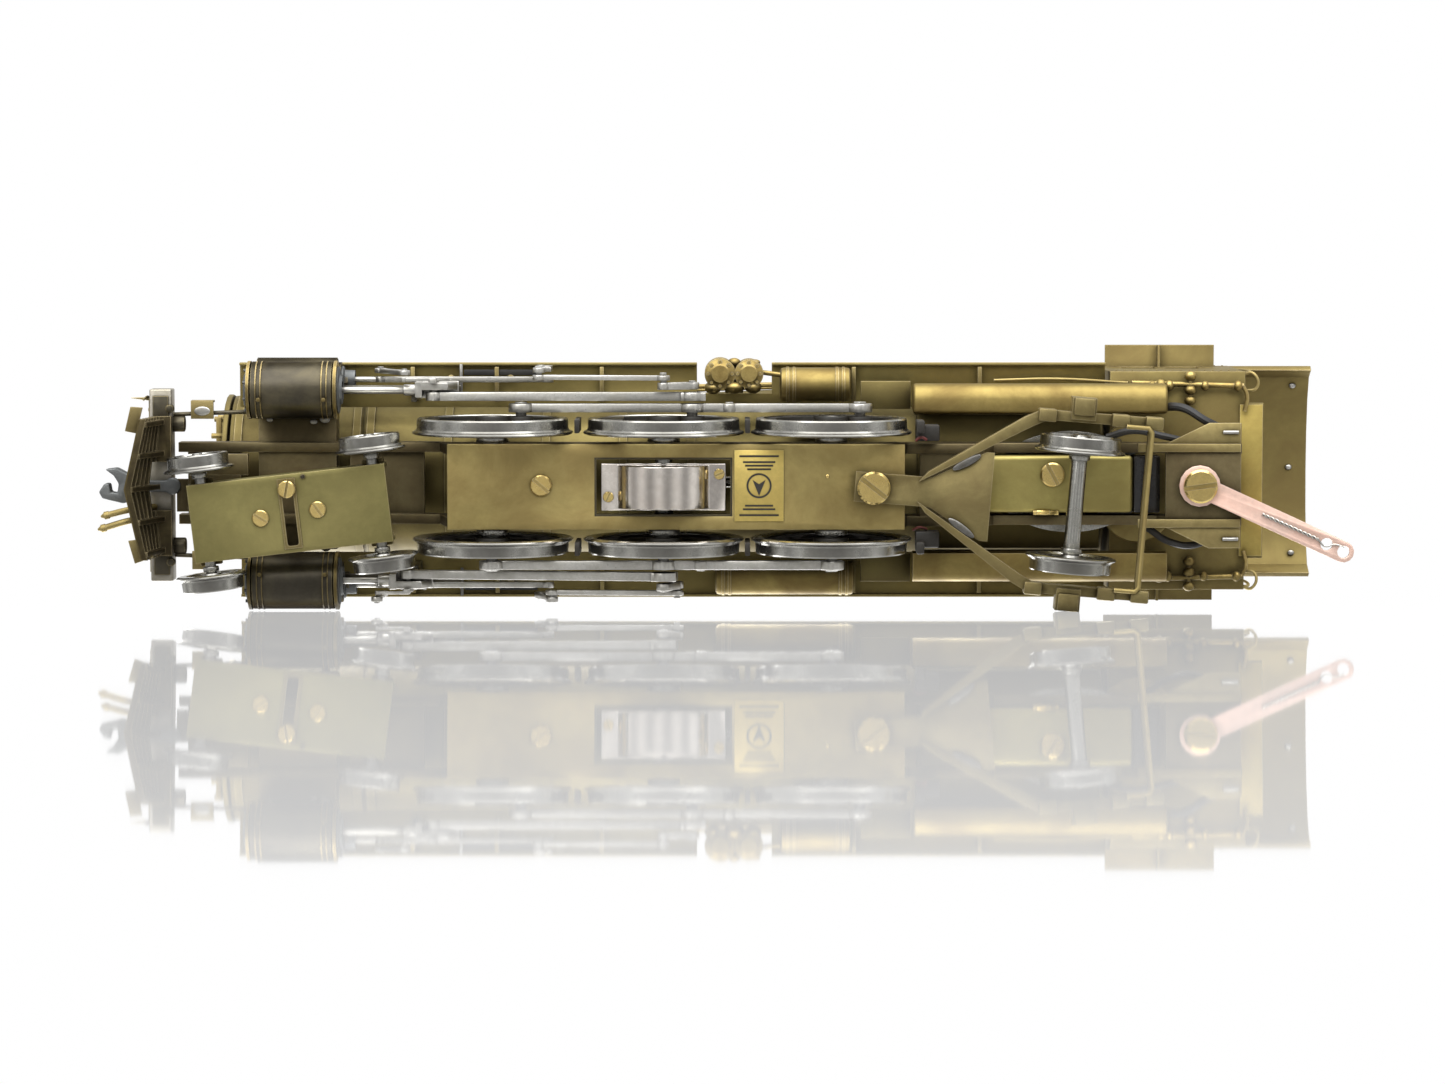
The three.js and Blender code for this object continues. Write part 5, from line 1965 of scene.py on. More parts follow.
@dataclass
class Drawbar:
    """The pink drawbar, its screw and the spring wire along it.

    Attributes:
        shop: the workshop that fits the pieces.
    """

    shop: Workshop

    def build(self) -> None:
        """Build and fit the drawbar."""
        shop = self.shop
        shop.refine("drawbar", "drawbar", COPPER, 0.05)
        at = shop.pin("drawbar_swing")
        low, high = shop.span("drawbar", Axis.X)
        across = shop.span("drawbar", Axis.Y)
        heading = Vector((low - at.x, across[0] + 1.0 - at.y, 0)).normalized()
        mm = Matrix.Translation((at.x, at.y, 0)) @ Matrix.Rotation(math.atan2(heading.y, heading.x), 4, "Z")
        place = shop.engine @ mm
        strands = []
        for phase in (0.0, math.pi):
            points = []
            turns, steps = 6, 60
            for i in range(steps + 1):
                share = i / steps
                angle = phase + share * turns * math.tau
                points.append((9.6 + 8.6 * share, 0.14 * math.cos(angle), 8.68 + 0.14 * math.sin(angle)))
            strands.append(Bench.wire(points, 0.11))
        strands.append(
            Bench.wire([(18.2, 0, 8.7), (19.4, 0.5, 8.68), (20.6, -0.3, 8.68), (22.0, -0.5, 8.7)], 0.13)
        )
        shop.fit(Bench.join(strands), "spring_wire", "drawbar", NICKEL, frame=place)
        span = shop.span("drawbar_screw", Axis.Z)
        parts = [
            Bench.screw((at.x, at.y, span[0] + 1.1), 2.37, 1.1, 8),
            Bench.bar((at.x, at.y, span[0] + 1.0), (at.x, at.y, span[1]), 1.0, 24),
        ]
        shop.fit(Bench.join(parts), "drawbar_pin_screw", "chassis", BRIGHT_BRASS, ["drawbar_screw"])


# ------------------------------------------------------------------ the rest of the engine


@dataclass
class Chassis:
    """Frame bars, keeper plate, gear cover, maker's plate, rear plate and brake gear.

    Attributes:
        shop: the workshop that fits the pieces.
    """

    shop: Workshop

    def build(self) -> None:
        """Build and fit the chassis."""
        shop = self.shop
        # The frame bars and the rear frame plate take the darker copy of the aged brass: painted shade.
        shop.refine("main_frame", "chassis", SHADE_BRASS)
        shop.refine("rear_frame_plate", "chassis", SHADE_BRASS, 0.06)
        shop.refine("keeper_plate", "chassis", GOLDEN_BRASS, 0.1)
        shop.refine("gear_cover", "chassis", CHROME, 0.35, 4)
        screws = [
            Bench.screw((17.1, 0.2, 7.0), 1.5, 0.45, -40),
            Bench.screw((7.7, -1.4, 7.12), 0.75, 0.3, 65),
            Bench.screw((-7.8, 1.8, 7.12), 0.75, 0.3, 20),
            Bench.ball((-22.9, 1.5, 7.0), 0.3, (1, 1, 0.4), 8),
        ]
        shop.fit(Bench.join(screws), "keeper_screws", "chassis", BRIGHT_BRASS)
        self._opening()
        self._nameplate()
        self._rear()
        self._brakes()
        self._front_blocks()

    def _opening(self) -> None:
        """The blackened lining around the gear opening in the keeper plate."""
        outer = Bench.slab((-9.85, 9.85), (-4.3, 4.3), (7.05, 7.85), 0)
        inner = Bench.slab((-9.35, 9.35), (-3.85, 3.85), (6.5, 8.5), 0)
        lining = Bench.cut(outer, [inner], 0.03)
        self.shop.fit(lining, "opening_lining", "chassis", BLACKENED)

    def _nameplate(self) -> None:
        """The small gold plate with a plain ornament: a shield, a ring and bars, and no words."""
        shop = self.shop
        x, y = (-16.8, -9.9), (-4.8, 5.2)
        plate = Bench.slab(x, y, (6.84, 7.0), 0.04)
        shop.fit(plate, "maker_plate", "chassis", GOLD_PLATE)
        middle = (x[0] + x[1]) / 2
        marks = [
            Bench.slab((x[0] + 0.7, x[1] - 0.7), (y[1] - 1.0, y[1] - 0.75), (6.79, 6.86), 0),
            Bench.slab((x[0] + 0.7, x[1] - 0.7), (y[0] + 0.75, y[0] + 1.0), (6.79, 6.86), 0),
            Bench.turned(
                [(1.5, 6.79), (1.75, 6.79), (1.75, 6.86), (1.5, 6.86)], centre=(middle, 0.2, 0), closed=True
            ),
            Bench.plate(
                [(middle - 0.9, 1.0), (middle, -1.2), (middle + 0.9, 1.0), (middle, 0.4)],
                (6.79, 6.86),
                Axis.Z,
                0,
            ),
        ]
        for i in range(3):
            at = y[1] - 1.7 - 0.5 * i
            bar = (x[0] + 1.2 + 0.3 * i, x[1] - 1.2 - 0.3 * i)
            marks.append(Bench.slab(bar, (at - 0.12, at + 0.12), (6.79, 6.86), 0))
        for i in range(2):
            at = y[0] + 1.7 + 0.5 * i
            bar = (x[0] + 1.2 + 0.3 * i, x[1] - 1.2 - 0.3 * i)
            marks.append(Bench.slab(bar, (at - 0.12, at + 0.12), (6.79, 6.86), 0))
        shop.fit(Bench.join(marks), "plate_ornament", "chassis", WIRE_BLACK)

    def _rear(self) -> None:
        """The folded edges and the pins of the rear plate."""
        flanges, pins = [], []
        for side in Side:
            flanges.append(Bench.slab((-80.9, -66.5), side.span(4.7, 5.9), (9.75, 10.5), 0.12))
            flanges.append(
                Bench.plate(
                    [
                        (-80.9, side.value * 5.9),
                        (-70.5, side.value * 5.9),
                        (-76.5, side.value * 8.8),
                        (-80.9, side.value * 8.8),
                    ][:: side.value],
                    (10.1, 10.4),
                    Axis.Z,
                    0.06,
                )
            )
            pins.append(
                Bench.bar((-80.6, side.value * 7.5, 9.9), (-78.4, side.value * 7.5, 9.9), 0.28, 12, 0.05)
            )
        self.shop.fit(Bench.join(flanges), "rear_plate_flanges", "chassis", AGED_BRASS)
        self.shop.fit(Bench.join(pins), "rear_plate_pins", "chassis", SOLDER)

    def _brakes(self) -> None:
        """Black brake hangers between the drivers, and the insulated blocks behind them."""
        hangers = []
        for side in Side:
            for x in (12.0, -11.75):
                hangers.append(Bench.slab((x - 0.35, x + 0.35), side.span(7.6, 9.5), (5.0, 13.5), 0.12))
            hangers.append(Bench.slab((-38.6, -35.3), side.span(6.3, 8.6), (8.4, 11.2), 0.25))
            hangers.append(Bench.slab((-36.4, -35.3), side.span(7.6, 9.3), (5.6, 11.0), 0.2))
        self.shop.fit(Bench.join(hangers), "brake_gear", "chassis", BLACK_PAINT)
        red = [
            Bench.wire([(-35.2, 6.4, 8.3), (-36.0, 6.9, 8.2), (-36.8, 6.5, 8.3)], 0.2),
            Bench.wire([(-34.9, -6.2, 9.4), (-35.9, -5.8, 9.0), (-36.9, -6.1, 9.4)], 0.2),
        ]
        self.shop.fit(Bench.join(red), "red_wire_ends", "chassis", WIRE_RED)

    def _front_blocks(self) -> None:
        """The cross pieces between the frame bars behind the beam."""
        parts = [
            Bench.slab((66.6, 68.2), (-3.6, 1.0), (9.2, 9.8), 0.06),
            Bench.slab((58.4, 66.8), (1.4, 4.4), (11.4, 12.4), 0.1),
        ]
        self.shop.fit(Bench.join(parts), "front_cross_pieces", "chassis", SHADE_BRASS)


@dataclass
class Drive:
    """The motor with its brass cover, black magnet and wires, and the worm shaft.

    Attributes:
        shop: the workshop that fits the pieces.
    """

    shop: Workshop

    def build(self) -> None:
        """Build and fit the drive."""
        shop = self.shop
        x = shop.span("motor", Axis.X)
        z = shop.span("motor", Axis.Z)
        cover = Bench.slab((x[0] + 3.9, x[1]), (-4.0, 4.1), z, 0)
        shop.fit(Bench.soften(cover, 0.7, 4), "motor_cover", "chassis", COVER_BRASS, ["motor"])
        magnet = Bench.slab((x[0] + 0.1, x[0] + 3.8), (-4.0, 4.0), (z[0] + 0.2, z[1]), 0.25)
        shop.fit(magnet, "motor_magnet", "chassis", MAGNET)
        screws = [
            Bench.screw((-54.7, 1.4, z[0]), 1.7, 0.5, -62),
            Bench.bar((-54.3, -3.9, z[0]), (-52.5, -3.9, z[0]), 0.35, 12, 0.05),
            Bench.slab((-55.6, -52.0), (-4.3, -3.7), (z[0] - 0.1, z[0] + 0.5), 0.08),
        ]
        shop.fit(Bench.join(screws), "motor_screw", "chassis", BRIGHT_BRASS)
        ring = Bench.turned([(9.0, 17.6), (12.4, 17.6), (12.4, 18.6), (9.0, 18.6)], closed=True)
        ring.data.transform(Matrix.Translation((-57.6, 0.1, 0)) @ Matrix.Diagonal((0.9, 0.58, 1, 1)))
        shop.fit(ring, "motor_ring", "chassis", NICKEL)
        disc = Bench.turned([(0, 18.9), (8.6, 18.9), (8.8, 19.1), (8.8, 19.7), (0, 19.7)])
        disc.data.transform(Matrix.Translation((-67.2, 0.1, 0)) @ Matrix.Diagonal((0.72, 1.0, 1, 1)))
        shop.fit(disc, "motor_end_disc", "chassis", GOLDEN_BRASS)
        wires = [
            Bench.wire([(-62.5, 6.6, 14), (-66, 7.6, 12.4), (-70.0, 6.9, 12.2), (-74.5, 5.8, 13)], 0.5),
            Bench.wire([(-70.0, 10.6, 17.5), (-73.2, 10.7, 15), (-76.4, 8.9, 13.5), (-79.5, 7.4, 14.5)], 0.6),
            Bench.wire([(-68.5, -6.4, 16), (-71.5, -8.2, 13.5), (-74.5, -8.6, 13), (-78.0, -7.2, 14.5)], 0.5),
        ]
        shop.fit(Bench.join(wires), "motor_wires", "chassis", WIRE_BLACK)
        at = shop.pin("worm_spin")
        low, high = shop.span("worm_shaft", Axis.X)
        worm = [Bench.bar((low, 0, at.z), (high, 0, at.z), 0.8, 24, 0.05)]
        size = shop.span("worm_shaft", Axis.Z)
        worm_radius = (size[1] - size[0]) / 2 - 0.02
        for i in range(9):
            x0 = high - 1.2 - 0.72 * i
            worm.append(Bench.bar((x0, 0, at.z), (x0 - 0.36, 0, at.z), worm_radius, 24, 0.08))
        shop.fit(Bench.join(worm), "worm_and_shaft", "worm", NICKEL, ["worm_shaft"])


@dataclass
class CylinderGroup:
    """Both cylinders with their rims, rings, covers and valve caps, and the crosshead guides.

    Attributes:
        shop: the workshop that fits the pieces.
        axis_y: distance of a cylinder's axis from the middle.
        axis_z: height of that axis.
        valve_z: height of the valve chest's axis.
        ends: the rear and the front face of a cylinder.
    """

    shop: Workshop
    axis_y: float = 13.4
    axis_z: float = 10.65
    valve_z: float = 17.8
    ends: Span = (45.7, 58.2)

    def build(self) -> None:
        """Build and fit both sides."""
        for side in Side:
            self._side(side)

    def _ring(self, x: float, width: float, inner: float, outer: float, y: float, z: float) -> Part:
        """A thin ring around a cylinder.

        Args:
            x: where it starts along the engine.
            width: its width.
            inner: its inside radius.
            outer: its outside radius.
            y: place of its axis across.
            z: height of its axis.

        Returns:
            The new part.
        """
        return Bench.turned(
            [(inner, x), (outer, x), (outer, x + width), (inner, x + width)], Axis.X, (0, y, z), 64, True
        )

    def _side(self, side: Side) -> None:
        """One cylinder and its guide.

        Args:
            side: which side of the engine.
        """
        shop, name = self.shop, side.word
        low, high = shop.span(f"cylinder_{name}", Axis.X)
        y, z, v = side.value * self.axis_y, self.axis_z, self.valve_z
        shop.refine(f"cylinder_{name}", "chassis", BLACKENED, 0.12)
        rear, front = self.ends
        rings = [
            self._ring(x, 0.16, 3.8, 4.07, y, z) for x in (rear + 1.2, rear + 1.9, front - 2.1, front - 1.4)
        ]
        rings.append(self._ring(rear - 0.05, 0.45, 3.3, 4.1, y, z))
        rings.append(self._ring(front - 0.4, 0.42, 3.3, 4.08, y, z))
        shop.fit(Bench.join(rings), f"cylinder_rings_{name}", "chassis", CAST_BRASS)
        caps = [
            Bench.turned(
                [
                    (0, front + 0.55),
                    (2.2, front + 0.55),
                    (2.6, front + 0.3),
                    (3.4, front + 0.2),
                    (3.4, front - 0.1),
                    (0, front - 0.1),
                ],
                Axis.X,
                (0, y, z),
                48,
            ),
            Bench.turned(
                [
                    (1.3, rear - 0.7),
                    (1.9, rear - 0.7),
                    (2.1, rear - 0.35),
                    (3.3, rear - 0.25),
                    (3.3, rear + 0.1),
                    (1.3, rear + 0.1),
                ],
                Axis.X,
                (0, y, z),
                48,
                True,
            ),
            Bench.turned(
                [
                    (0.75, rear - 1.9),
                    (1.3, rear - 1.9),
                    (1.35, rear - 0.5),
                    (1.9, rear - 0.3),
                    (1.9, rear + 0.1),
                    (0.75, rear + 0.1),
                ],
                Axis.X,
                (0, side.value * 14.6, v),
                40,
                True,
            ),
            Bench.turned(
                [
                    (0, front + 0.4),
                    (1.2, front + 0.4),
                    (1.9, front + 0.1),
                    (1.9, front - 0.1),
                    (0, front - 0.1),
                ],
                Axis.X,
                (0, side.value * 14.2, v),
                40,
            ),
        ]
        for i in range(8):
            angle = (i + 0.5) * math.tau / 8
            dy, dz = 3.0 * math.cos(angle), 3.0 * math.sin(angle)
            caps.append(Bench.bar((front + 0.1, y + dy, z + dz), (front + 0.5, y + dy, z + dz), 0.25, 6))
        shop.fit(Bench.join(caps), f"cylinder_covers_{name}", "chassis", GREY_CAST)
        cocks = []
        for x in (rear + 1.6, front - 1.8):
            cocks.append(
                Bench.bar(
                    (x, y - side.value * 1.2, z - 4.6), (x, y - side.value * 1.2, z - 3.6), 0.3, 10, 0.04
                )
            )
        shop.fit(Bench.join(cocks), f"drain_cocks_{name}", "chassis", CAST_BRASS)
        shop.refine(f"crosshead_guide_{name}", "chassis", GUIDE_METAL, 0.06)
        smears = [
            Bench.ball((48.0, side.value * 9.1, 16.1), 0.7, (1.1, 0.9, 0.3), 10),
            Bench.ball((49.6, side.value * 8.7, 16.15), 0.45, (1.2, 0.9, 0.3), 10),
            Bench.ball((55.8, side.value * 9.0, 16.15), 0.4, (1.2, 0.9, 0.3), 10),
        ]
        shop.fit(Bench.join(smears), f"saddle_solder_{name}", "chassis", SOLDER)


@dataclass
class FrontEnd:
    """Pilot, beam, foot boards, coupler, hoses, braces and cut lever.

    Attributes:
        shop: the workshop that fits the pieces.
    """

    shop: Workshop

    def build(self) -> None:
        """Build and fit the front end."""
        shop = self.shop
        shop.refine("pilot", "chassis", PILOT_BRASS, 0.06)
        self._toe()
        shop.refine("buffer_beam", "chassis", BEAM_METAL, 0.2)
        shop.refine("front_coupler", "coupler", GREY_CAST, 0.25, 3)
        boards = [
            Bench.plate([(74.5, 8.0), (73.7, 11.4), (72.0, 11.3), (72.9, 7.7)], (2.7, 3.05), Axis.Z, 0.08),
            Bench.plate([(74.2, -7.2), (72.7, -7.0), (70.7, -9.5), (73.3, -10.4)], (2.7, 3.05), Axis.Z, 0.08),
        ]
        for side in Side:
            boards.append(Bench.slab((72.3, 72.7), side.span(8.4, 9.2), (2.9, 9.8), 0.08))
        shop.fit(Bench.join(boards), "foot_boards", "chassis", AGED_BRASS)
        dark = []
        for side in Side:
            s = side.value
            dark.append(Bench.bar((67.3, s * 8.6, 12.4), (69.1, s * 8.6, 12.4), 1.15, 24, 0.2))
            dark.append(Bench.bar((68.9, s * 9.9, 12.2), (58.0, s * 10.3, 12.2), 0.3, 12))
            dark.append(Bench.bar((69.2, s * 10.8, 11.4), (69.2, s * 10.8, 10.0), 0.55, 16, 0.1))
            dark.append(Bench.slab((69.4, 71.6), side.span(7.8, 12.6), (10.2, 10.7), 0.12))
        shop.fit(Bench.join(dark), "beam_braces", "chassis", BLACKENED)
        steps = []
        for side in Side:
            steps.append(Bench.slab((63.2, 66.4), side.span(9.3, 11.9), (11.4, 11.75), 0.08))
            steps.append(Bench.slab((63.2, 66.4), side.span(11.6, 11.9), (11.5, 13.2), 0.06))
        shop.fit(Bench.join(steps), "side_steps", "chassis", AGED_BRASS)
        blobs = [Bench.ball((64.8, 10.4, 11.38), 0.8, (1.4, 0.8, 0.14), 10)]
        blobs += [Bench.ball((71.2, side.value * 9.6, 10.5), 0.5, (0.8, 1.3, 0.5), 10) for side in Side]
        shop.fit(Bench.join(blobs), "front_solder", "chassis", SOLDER)
        self._hoses()
        lever = [
            Bench.bar((71.4, 12.0, 12.6), (74.9, 12.2, 12.6), 0.32, 12, 0.0, 0.05),
            Bench.bar((72.4, -12.4, 13.4), (72.4, 12.4, 13.4), 0.16, 10),
            Bench.wire([(72.4, 12.2, 13.4), (72.6, 12.4, 12.4), (73.0, 12.0, 11.2)], 0.16),
        ]
        for y in (-10.5, -4.0, 4.0, 10.5):
            lever.append(Bench.bar((72.0, y, 13.4), (72.6, y, 13.4), 0.28, 10, 0.04))
        shop.fit(Bench.join(lever), "cut_lever", "chassis", AGED_BRASS)

    def _toe(self) -> None:
        """The bright edge along the pilot's lowest strip."""
        points = [(72.15, 9.75, 0.95), (74.35, 0, 0.95), (72.15, -9.75, 0.95)]
        edge = Bench.wire(points, 0.16, smooth=False)
        self.shop.fit(edge, "pilot_toe_edge", "chassis", CAST_BRASS)

    def _hoses(self) -> None:
        """The two round-ended hoses beside the coupler."""
        parts = []
        for tip, root in (((77.8, -3.9, 5.2), (74.0, -3.0, 5.2)), ((78.25, -5.7, 5.2), (74.0, -4.5, 5.2))):
            reach = Vector(tip) - Vector(root)
            parts.append(Bench.wire([(71.4, root[1], 10.2), (72.9, root[1], 7.0), root, tip], 0.45, sides=5))
            end = Vector(tip) + reach.normalized() * 0.5
            parts.append(Bench.bar(tip, tuple(end), 0.44, 20, 0.0, 0.12))
            near = Vector(tip) - reach.normalized() * 0.7
            parts.append(Bench.bar(tuple(near), tip, 0.55, 20, 0.06))
        self.shop.fit(Bench.join(parts), "air_hoses", "chassis", GOLDEN_BRASS)


@dataclass
class Boiler:
    """Boiler shell, smokebox front, chimney, domes and the fittings along them.

    Attributes:
        shop: the workshop that fits the pieces.
        centre_z: height of the boiler's axis.
        bands: places and radii of the boiler bands.
    """

    shop: Workshop
    centre_z: float = 33.5
    bands: Sequence[tuple[float, float]] = (
        (61.2, 11.6),
        (44.2, 11.6),
        (42.2, 12.0),
        (31.0, 12.0),
        (17.0, 12.0),
        (6.0, 12.0),
        (-3.8, 12.0),
        (-25.0, 12.9),
        (-40.0, 12.9),
        (-55.0, 12.9),
        (-62.0, 12.9),
    )

    def build(self) -> None:
        """Build and fit the boiler."""
        shop = self.shop
        shop.refine("boiler", "chassis", BODY_BRASS, 0.12)
        shop.refine("smokebox_front", "chassis", BODY_BRASS, 0.15)
        shop.refine("chimney", "chassis", BODY_BRASS, 0.18, 3)
        shop.refine("sand_dome", "chassis", BODY_BRASS, 0.25, 3)
        shop.refine("steam_dome", "chassis", BODY_BRASS, 0.25, 3)
        rings = []
        for x, radius in self.bands:
            section = [
                (radius - 0.3, x - 0.55),
                (radius + 0.13, x - 0.55),
                (radius + 0.13, x + 0.55),
                (radius - 0.3, x + 0.55),
            ]
            rings.append(Bench.turned(section, Axis.X, (0, 0, self.centre_z), 96, True))
        shop.fit(Bench.join(rings), "boiler_bands", "chassis", BODY_BRASS)
        self._handrails()
        self._front_fittings()
        self._top_fittings()
        self._pipes()

    def _on_shell(self, x: float, angle: float, out: float = 0.0) -> Point:
        """A point on the shell.

        Args:
            x: its place along the engine.
            angle: degrees up from the side, positive on the left.
            out: how far off the shell.

        Returns:
            The point in engine millimetres.
        """
        radius = (12.9 if x < -24 else 12.0 if x < -3 else 12.0 if x < 43 else 11.6) + out
        a = math.radians(angle)
        return (x, radius * math.cos(a), self.centre_z + radius * math.sin(a))

    def _handrails(self) -> None:
        """The handrails along both sides on their stanchions."""
        parts = []
        for side in Side:
            angle = 24 if side is Side.LEFT else 156
            knots = [self._on_shell(x, angle, 1.2) for x in (60.0, 40.0, 20.0, 0.0)]
            knots += [self._on_shell(x, angle, 1.2) for x in (-26.0, -45.0, -61.0)]
            parts.append(Bench.wire(knots, 0.24, smooth=False, sides=4))
            for x in (60, 47, 34, 21, 8, -30, -44, -60):
                foot, head = self._on_shell(x, angle, -0.2), self._on_shell(x, angle, 1.2)
                parts.append(Bench.bar(foot, head, 0.22, 10))
                parts.append(Bench.ball(head, 0.42, rings=8))
        self.shop.fit(Bench.join(parts), "handrails", "chassis", GOLDEN_BRASS)

    def _front_fittings(self) -> None:
        """The smokebox door's hinges and clamps, and the headlamp with its lens."""
        x = self.shop.span("smokebox_front", Axis.X)[1]
        z = self.centre_z
        parts = []
        for i in range(12):
            a = i * math.tau / 12 + 0.26
            y0, z0 = 8.6 * math.cos(a), 8.6 * math.sin(a)
            parts.append(Bench.bar((x - 3.6, y0, z + z0), (x - 1.9, y0, z + z0), 0.45, 6, 0.08))
        for dz in (-2.6, 2.6):
            parts.append(Bench.slab((x - 3.0, x - 2.2), (0.5, 8.6), (z + dz - 0.35, z + dz + 0.35), 0.1))
        lamp = Bench.turned(
            [
                (0, x - 3.0),
                (1.6, x - 3.0),
                (2.2, x - 2.0),
                (2.3, x - 0.4),
                (2.1, x - 0.1),
                (1.9, x - 0.3),
                (0, x - 0.35),
            ],
            Axis.X,
            (0, 0, z + 0.1),
            48,
        )
        parts.append(lamp)
        self.shop.fit(Bench.join(parts), "smokebox_fittings", "chassis", GOLDEN_BRASS)
        lens = Bench.turned(
            [(0, x - 0.12), (1.2, x - 0.2), (1.85, x - 0.34), (0, x - 0.34)], Axis.X, (0, 0, z + 0.1), 40
        )
        self.shop.fit(lens, "headlamp_lens", "chassis", GLASS_LAMP)

    def _top_fittings(self) -> None:
        """The bell, the safety valves, the whistle and the generator."""
        z = self.centre_z
        top = z + 12.0
        bell = [
            Bench.slab((37.0, 38.6), (-1.9, -1.5), (top - 0.6, top + 3.2), 0.1),
            Bench.slab((37.0, 38.6), (1.5, 1.9), (top - 0.6, top + 3.2), 0.1),
            Bench.bar((37.8, -2.0, top + 3.0), (37.8, 2.0, top + 3.0), 0.3, 12),
            Bench.turned(
                [(0, 3.3), (0.6, 3.2), (0.9, 2.4), (1.1, 1.4), (1.5, 0.8), (1.3, 0.8), (0, 1.2)],
                Axis.Z,
                (37.8, 0, top),
                32,
            ),
        ]
        self.shop.fit(Bench.join(bell), "bell", "chassis", BRIGHT_BRASS)
        valves = []
        for x, y in ((-8.0, 1.3), (-8.0, -1.3), (-11.0, 0.0)):
            valves.append(
                Bench.turned(
                    [
                        (0, 2.4),
                        (0.35, 2.4),
                        (0.4, 1.6),
                        (0.7, 1.5),
                        (0.7, 0.5),
                        (0.95, 0.4),
                        (0.95, -1.0),
                        (0, -1.0),
                    ],
                    Axis.Z,
                    (x, y, top + 0.2),
                    24,
                )
            )
        valves.append(Bench.bar((48.0, 3.4, z + 11.4), (50.8, 3.4, z + 11.4), 1.1, 28, 0.2))
        valves.append(Bench.bar((48.6, 3.4, z + 11.4), (49.0, 3.4, z + 11.4), 1.35, 28, 0.1))
        self.shop.fit(Bench.join(valves), "safety_valves", "chassis", BRIGHT_BRASS)

    def _pipes(self) -> None:
        """Sand pipes and feed pipes along the shell."""
        runs = []
        for side in Side:
            flip = (lambda a: a) if side is Side.LEFT else (lambda a: 180 - a)
            for dx in (-2.4, 2.4):
                knots = [self._on_shell(28 + dx, flip(a), 0.25) for a in (70, 52, 34, 14, -4, -24)]
                runs.append(Bench.wire(knots, 0.25))
            feed = [
                self._on_shell(46, flip(40), 0.2),
                self._on_shell(44, flip(12), 0.5),
                self._on_shell(38, flip(2), 0.6),
            ]
            feed += [
                self._on_shell(10, flip(2), 0.6),
                self._on_shell(-20, flip(2), 1.3),
                self._on_shell(-60, flip(2), 0.6),
            ]
            runs.append(Bench.wire(feed, 0.35))
        self.shop.fit(Bench.join(runs), "boiler_pipes", "chassis", GOLDEN_BRASS)


@dataclass
class CabHouse:
    """The cab with its roof, ledge, window frames, injectors and solder dots.

    Attributes:
        shop: the workshop that fits the pieces.
    """

    shop: Workshop

    def build(self) -> None:
        """Build and fit the cab."""
        shop = self.shop
        shop.refine("cab", "chassis", CAB_BRASS, 0.1)
        ledge = Bench.slab((-85.3, -82.0), (-10.8, 10.9), (20.95, 21.15), 0)
        Bench.only(ledge)
        shop.fit(Bench.soften(ledge, 0.08), "cab_ledge", "chassis", LEDGE_BRASS)
        corners = ((-92.6, 12.6, 44.9), (-92.4, 0.4, 47.1), (-92.6, -12.2, 44.9))
        dots = [Bench.ball(at, 0.5, (1.0, 0.8, 0.4), 10) for at in corners]
        shop.fit(Bench.join(dots), "roof_solder", "chassis", SOLDER)
        rivets = []
        for side in Side:
            y = side.value * 15.62
            for i in range(16):
                for z in (23.4, 42.2):
                    rivets.append(Bench.ball((-64.6 - i * 1.15, y, z), 0.17, (1, 0.7, 1), 6))
        shop.fit(Bench.join(rivets), "cab_rivets", "chassis", CAB_BRASS)
        self._injectors()
        self._hooks()

    def _injectors(self) -> None:
        """The cast injectors and their pipes under the cab's sides."""
        parts = []
        for side in Side:
            y = side.value * 13.6
            z = 20.0
            parts.append(Bench.bar((-66.5, y + side.value * 0.4, z), (-82.4, y, z), 0.38, 16))
            for x, radius in ((-69.4, 0.75), (-70.6, 0.95), (-71.8, 0.8), (-76.9, 0.7), (-81.6, 0.75)):
                parts.append(Bench.ball((x, y, z), radius, (0.9, 1.0, 1.0), 10))
            parts.append(
                Bench.bar((-74.8, y - side.value * 2.1, z), (-74.8, y + side.value * 1.5, z), 0.35, 12)
            )
            for dy in (-2.1, -0.6, 1.4):
                parts.append(Bench.ball((-74.8, y + side.value * dy, z - 0.1), 0.85, (1.0, 0.85, 0.9), 10))
            parts.append(Bench.bar((-70.6, y, z), (-70.6, y - side.value * 2.2, z + 1.0), 0.4, 12))
            parts.append(
                Bench.wire(
                    [(-82.3, y, z), (-82.9, y - side.value * 1.4, z), (-82.6, y - side.value * 3.6, z + 0.3)],
                    0.3,
                )
            )
        self.shop.fit(Bench.join(parts), "injectors", "chassis", CAST_BRASS)

    def _hooks(self) -> None:
        """The small wire hooks and handrails behind the cab's sides."""
        wires = []
        for side in Side:
            s = side.value
            wires.append(
                Bench.wire(
                    [
                        (-82.6, s * 15.2, 21.6),
                        (-83.9, s * 15.3, 20.6),
                        (-84.4, s * 13.4, 20.6),
                        (-82.6, s * 12.8, 21.4),
                    ],
                    0.22,
                )
            )
            wires.append(
                Bench.wire(
                    [
                        (-83.0, s * 15.3, 23.0),
                        (-83.7, s * 15.3, 24.0),
                        (-83.7, s * 15.3, 34.5),
                        (-83.0, s * 15.3, 35.5),
                    ],
                    0.22,
                )
            )
            wires.append(
                Bench.wire([(-47.0, s * 14.3, 22.4), (-56.0, s * 14.5, 22.2), (-66.0, s * 14.0, 21.0)], 0.2)
            )
        self.shop.fit(Bench.join(wires), "cab_hand_hooks", "chassis", GOLDEN_BRASS)


